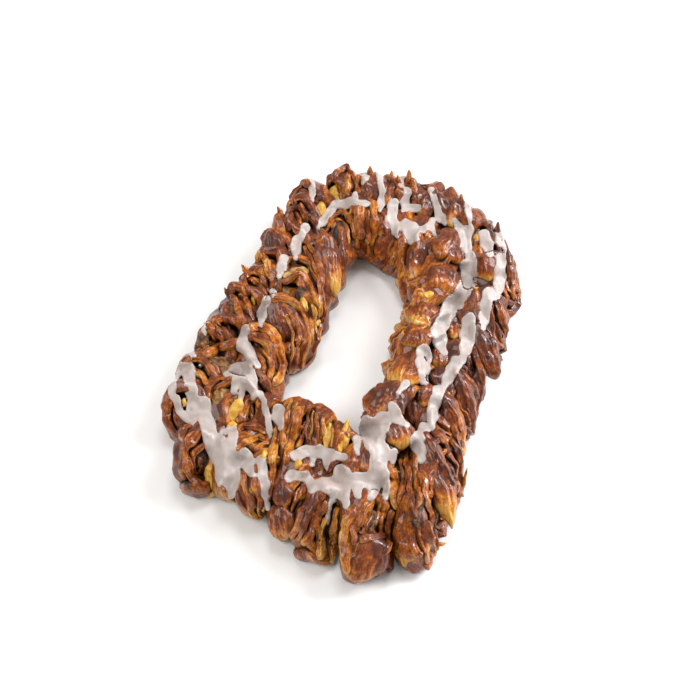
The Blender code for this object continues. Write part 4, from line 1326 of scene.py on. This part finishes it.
def bread_finish():
    """Baked dough: streaks along the layers, browner where it faces up, golden at cut edges, dark paste with
    painted shade inside, and painted shade in its crevices.
    """
    finish = Finish("baked_dough")
    ramp = finish.ramp
    busy = finish.math("SUBTRACT", 1.0, finish.attribute("calm"))
    weave = finish.node("ShaderNodeAttribute", attribute_name="weave").outputs["Vector"]
    normal = finish.node("ShaderNodeNewGeometry").outputs["Normal"]
    up = finish.node("ShaderNodeSeparateXYZ", {0: normal}).outputs["Z"]
    streaks = finish.noise(1.0, 3.0, 0.6, finish.scaled(weave, (130.0, 1000.0, 1.0)))
    bands = finish.noise(1.0, 2.0, 0.5, finish.scaled(weave, (50.0, 300.0, 1.0)))
    blotch = finish.noise(48.0, 3.0, 0.55)
    speckle = finish.noise(520.0, 3.0, 0.6)
    mottle = finish.noise(240.0, 4.0, 0.65, distortion=0.8)
    tone = finish.total(
        finish.attribute("baked"),
        ramp(streaks, 0.30, 0.70, -0.12, 0.12),
        ramp(bands, 0.32, 0.68, -0.10, 0.10),
        ramp(mottle, 0.34, 0.66, -0.18, 0.18),
        ramp(blotch, 0.34, 0.66, 0.24, 0.62),
        ramp(up, -0.1, 0.95, -0.08, 0.11),
        ramp(speckle, 0.3, 0.7, -0.05, 0.05),
    )
    stops = (0.10, GOLDEN_DOUGH), (0.36, ORANGE_CRUST), (0.60, RED_CRUST), (0.90, DARK_CRUST)
    colour = finish.colours(tone, stops)
    layers = finish.noise(1.0, 1.0, 0.5, finish.scaled(weave, (30.0, 330.0, 1.0)))
    seam = ramp(finish.math("ABSOLUTE", finish.math("SUBTRACT", layers, 0.5)), 0.004, 0.030, 1.0, 0.0)
    seam = finish.math("MULTIPLY", seam, busy)
    colour = finish.mix(finish.math("MULTIPLY", seam, 0.72), colour, DARK_CRUST)
    # The inside value darkens towards paste: the paste on the sheets' sides, with painted shade deep in the
    # gaps and round the edges of folds and lumps.
    colour = finish.mix(ramp(finish.attribute("inside"), 0.30, 0.95), colour, PASTE_AND_SHADE)
    # Painted shade: ambient occlusion darkens the dough's crevices towards the paste colour.
    painted_crevice_shade = finish.node("ShaderNodeAmbientOcclusion", {"Distance": 6 * MM}, samples=8).outputs["AO"]
    colour = finish.mix(ramp(painted_crevice_shade, 0.28, 0.84, 0.95, 0.0), colour, PASTE_AND_SHADE)
    relief = finish.bump(speckle, 0.0006, 0.7)
    relief = finish.bump(finish.math("MULTIPLY", streaks, busy), 0.0010, 0.7, relief)
    relief = finish.bump(finish.math("SUBTRACT", 1.0, seam), 0.0010, 0.7, relief)
    return finish.done({
        "Base Color": colour,
        "Roughness": ramp(blotch, 0.3, 0.7, 0.36, 0.56),
        "Subsurface Weight": 0.06,
        "Subsurface Radius": (0.004, 0.0016, 0.0006),
        "Specular IOR Level": 0.2,
        "Coat Weight": 0.6,
        "Coat Roughness": 0.07,
        "Normal": finish.bump(mottle, 0.0010, 0.5, relief),
    })


def filling_finish():
    """Dark cinnamon paste with crumbs of it catching the light."""
    finish = Finish("cinnamon_filling")
    blotch = finish.ramp(finish.noise(120.0, 3.0, 0.6), 0.40, 0.75)
    return finish.done({
        "Base Color": finish.mix(blotch, PASTE_AND_SHADE, PASTE_CRUMBS),
        "Roughness": 0.42,
        "Normal": finish.bump(finish.noise(600.0, 4.0, 0.7), 0.0008, 0.8),
    })


def crumb_finish():
    """Torn crumb soaked with cinnamon, from pale gold to nearly black, the darkest of it also painted shade
    in the hollows under the hoods.
    """
    finish = Finish("torn_crumb")
    patches = finish.noise(230.0, 4.0, 0.65, distortion=0.6)
    grain = finish.noise(700.0, 3.0, 0.7)
    tone = finish.total(
        finish.ramp(patches, 0.30, 0.70, -0.42, 0.42),
        # The dark value darkens the crumb towards paste, partly as painted shade under the hoods.
        finish.math("MULTIPLY", finish.attribute("dark"), 0.95),
        finish.ramp(grain, 0.3, 0.7, -0.06, 0.10),
    )
    stops = (0.0, PALE_CRUMB), (0.28, GOLDEN_CRUMB), (0.60, BROWN_CRUMB), (0.90, PASTE_AND_SHADE)
    return finish.done({
        "Base Color": finish.colours(tone, stops),
        "Roughness": 0.45,
        "Normal": finish.bump(patches, 0.0022, 0.9, finish.bump(grain, 0.0006, 0.7)),
    })


def icing_finish():
    """Set sugar icing, a little see-through, with thin places where the crust shows as a warmer tone."""
    finish = Finish("sugar_icing")
    cloud = finish.noise(90.0, 3.0, 0.5)
    thin = finish.ramp(finish.noise(42.0, 3.0, 0.6), 0.52, 0.74, 0.0, 0.42)
    relief = finish.bump(finish.noise(200.0, 2.0), 0.0005, 0.4)
    colour = finish.mix(finish.ramp(cloud, 0.3, 0.7), ICING, PALE_ICING)
    return finish.done({
        "Base Color": finish.mix(thin, colour, THIN_ICING),
        "Roughness": 0.42,
        "Subsurface Weight": 0.7,
        "Subsurface Radius": (0.005, 0.004, 0.0035),
        "Subsurface Scale": 1.0,
        "Coat Weight": 0.15,
        "Coat Roughness": 0.12,
        "Normal": finish.bump(cloud, 0.0012, 0.5, relief),
    })


def custard_finish():
    """Baked custard: yellow and porous, browned here and there."""
    finish = Finish("baked_custard")
    pores = finish.noise(260.0, 4.0, 0.7)
    return finish.done({
        "Base Color": finish.mix(finish.ramp(pores, 0.36, 0.60), CUSTARD, BROWNED_CUSTARD),
        "Roughness": 0.38,
        "Subsurface Weight": 0.2,
        "Subsurface Radius": (0.004, 0.0024, 0.0008),
        "Normal": finish.bump(pores, 0.0008, 0.8),
    })


def linked(name, data):
    """A new object in the scene, whose turn is given as a quaternion."""
    made = bpy.data.objects.new(name, data)
    made.rotation_mode = "QUATERNION"
    bpy.context.scene.collection.objects.link(made)
    return made


def add_camera():
    data = bpy.data.cameras.new("camera")
    data.sensor_width = SENSOR_MM
    data.lens = SENSOR_MM * FOCAL_PIXELS / IMAGE_PIXELS
    data.clip_start = NEAREST_SEEN
    camera = linked("camera", data)
    camera.location = camera_place()
    camera.rotation_quaternion = Matrix(camera_axes()).transposed().to_quaternion()
    bpy.context.scene.camera = camera


# The lights: bearing round the wreath as the camera sees it, with 0 behind the camera, elevation, size, power
# and colour.
LIGHT_DISTANCE = 1.6
LIGHTS = {
    "window": (115.0, 42.0, 0.8, 22.0, (1.0, 0.98, 0.95)),
    "overhead": (175.0, 72.0, 0.5, 8.0, (0.95, 0.97, 1.0)),
    "sky": (92.0, 20.0, 0.7, 9.0, (0.80, 0.88, 1.0)),
    "spark": (100.0, 34.0, 0.30, 9.0, (0.92, 0.95, 1.0)),
    "fill": (-70.0, 48.0, 1.0, 15.0, (1.0, 0.98, 0.95)),
}


def add_light(name, azimuth, elevation, size, power, colour):
    data = bpy.data.lights.new(name, "AREA")
    data.size = size
    data.energy = power
    data.color = colour
    light = linked(name, data)
    bearing = VIEW_AZIMUTH + radians(azimuth)
    level = cos(radians(elevation))
    way = Vector((sin(bearing) * level, -cos(bearing) * level, sin(radians(elevation))))
    light.location = way * LIGHT_DISTANCE
    light.rotation_quaternion = way.to_track_quat("Z", "Y")


def add_studio():
    mesh = bpy.data.meshes.new("floor")
    shape = bmesh.new()
    bmesh.ops.create_grid(shape, x_segments=1, y_segments=1, size=FLOOR_REACH)
    shape.to_mesh(mesh)
    shape.free()
    mesh.materials.append(Finish("pale_floor").done({"Base Color": FLOOR, "Roughness": 0.7}))
    floor = linked("floor", mesh)
    floor.location.z = -FLOOR_GAP
    world = bpy.data.worlds.new("studio")
    world.use_nodes = True
    background = world.node_tree.nodes["Background"]
    background.inputs["Color"].default_value = SKY_COLOUR
    background.inputs["Strength"].default_value = SKY_STRENGTH
    bpy.context.scene.world = world
    for name, values in LIGHTS.items():
        add_light(name, *values)
    bpy.context.scene.view_settings.view_transform = "Standard"


def surface_tree(made):
    """The dough's surface, to cast on."""
    points = []
    faces = []
    for piece in made:
        first = len(points)
        points.extend(v.co.copy() for v in piece.data.vertices)
        faces.extend([first + v for v in p.vertices] for p in piece.data.polygons)
    return BVHTree.FromPolygons(points, faces)


def gathered(name, finish, names, add, items, *given):
    """One mesh that each of the items adds a closed piece to."""
    shell = Shell(names)
    for item in items:
        add(shell, item, *given)
    return shell.build(name, finish)


def main():
    ring = Ring()
    bread = bread_finish()
    dough = []
    every_slice = []
    for row, table in ROWS.items():
        members = [Slice(ring, row, index) for index in range(len(table["places"]))]
        every_slice += members
        third = len(members) // 3
        for part, cut in (("a", slice(third)), ("b", slice(third, 2 * third)), ("c", slice(2 * third, None))):
            dough.append(gathered(f"{row}_slices_{part}", bread, BREAD_VALUES, add_slice, members[cut]))
    dough.append(gathered("filling", filling_finish(), (), add_filling, every_slice))
    dough.append(gathered("core", bread, BREAD_VALUES, add_core, [ring]))
    tree = surface_tree(dough)
    hollows = enumerate(HOLLOWS)
    dough.append(gathered("hollows", crumb_finish(), ("dark",), add_lump, hollows, tree, HOLLOW_THICKNESS))
    dough.append(gathered("lumps", bread, BREAD_VALUES, add_lump, enumerate(LUMPS), tree))
    tree = surface_tree(dough)
    dough.append(gathered("folds", bread, BREAD_VALUES, add_fold, enumerate(FOLDS), tree))
    tree = surface_tree(dough)
    custard = enumerate((*lump, 0.0) for lump in CUSTARD_LUMPS)
    dough.append(gathered("custard", custard_finish(), (), add_lump, custard, tree, CUSTARD_THICKNESS))
    iced = gathered("icing", icing_finish(), (), add_icing, [tree])
    dough.append(gathered("tips", bread, BREAD_VALUES, add_tip, enumerate(TIPS), tree))
    add_camera()
    add_studio()


main()
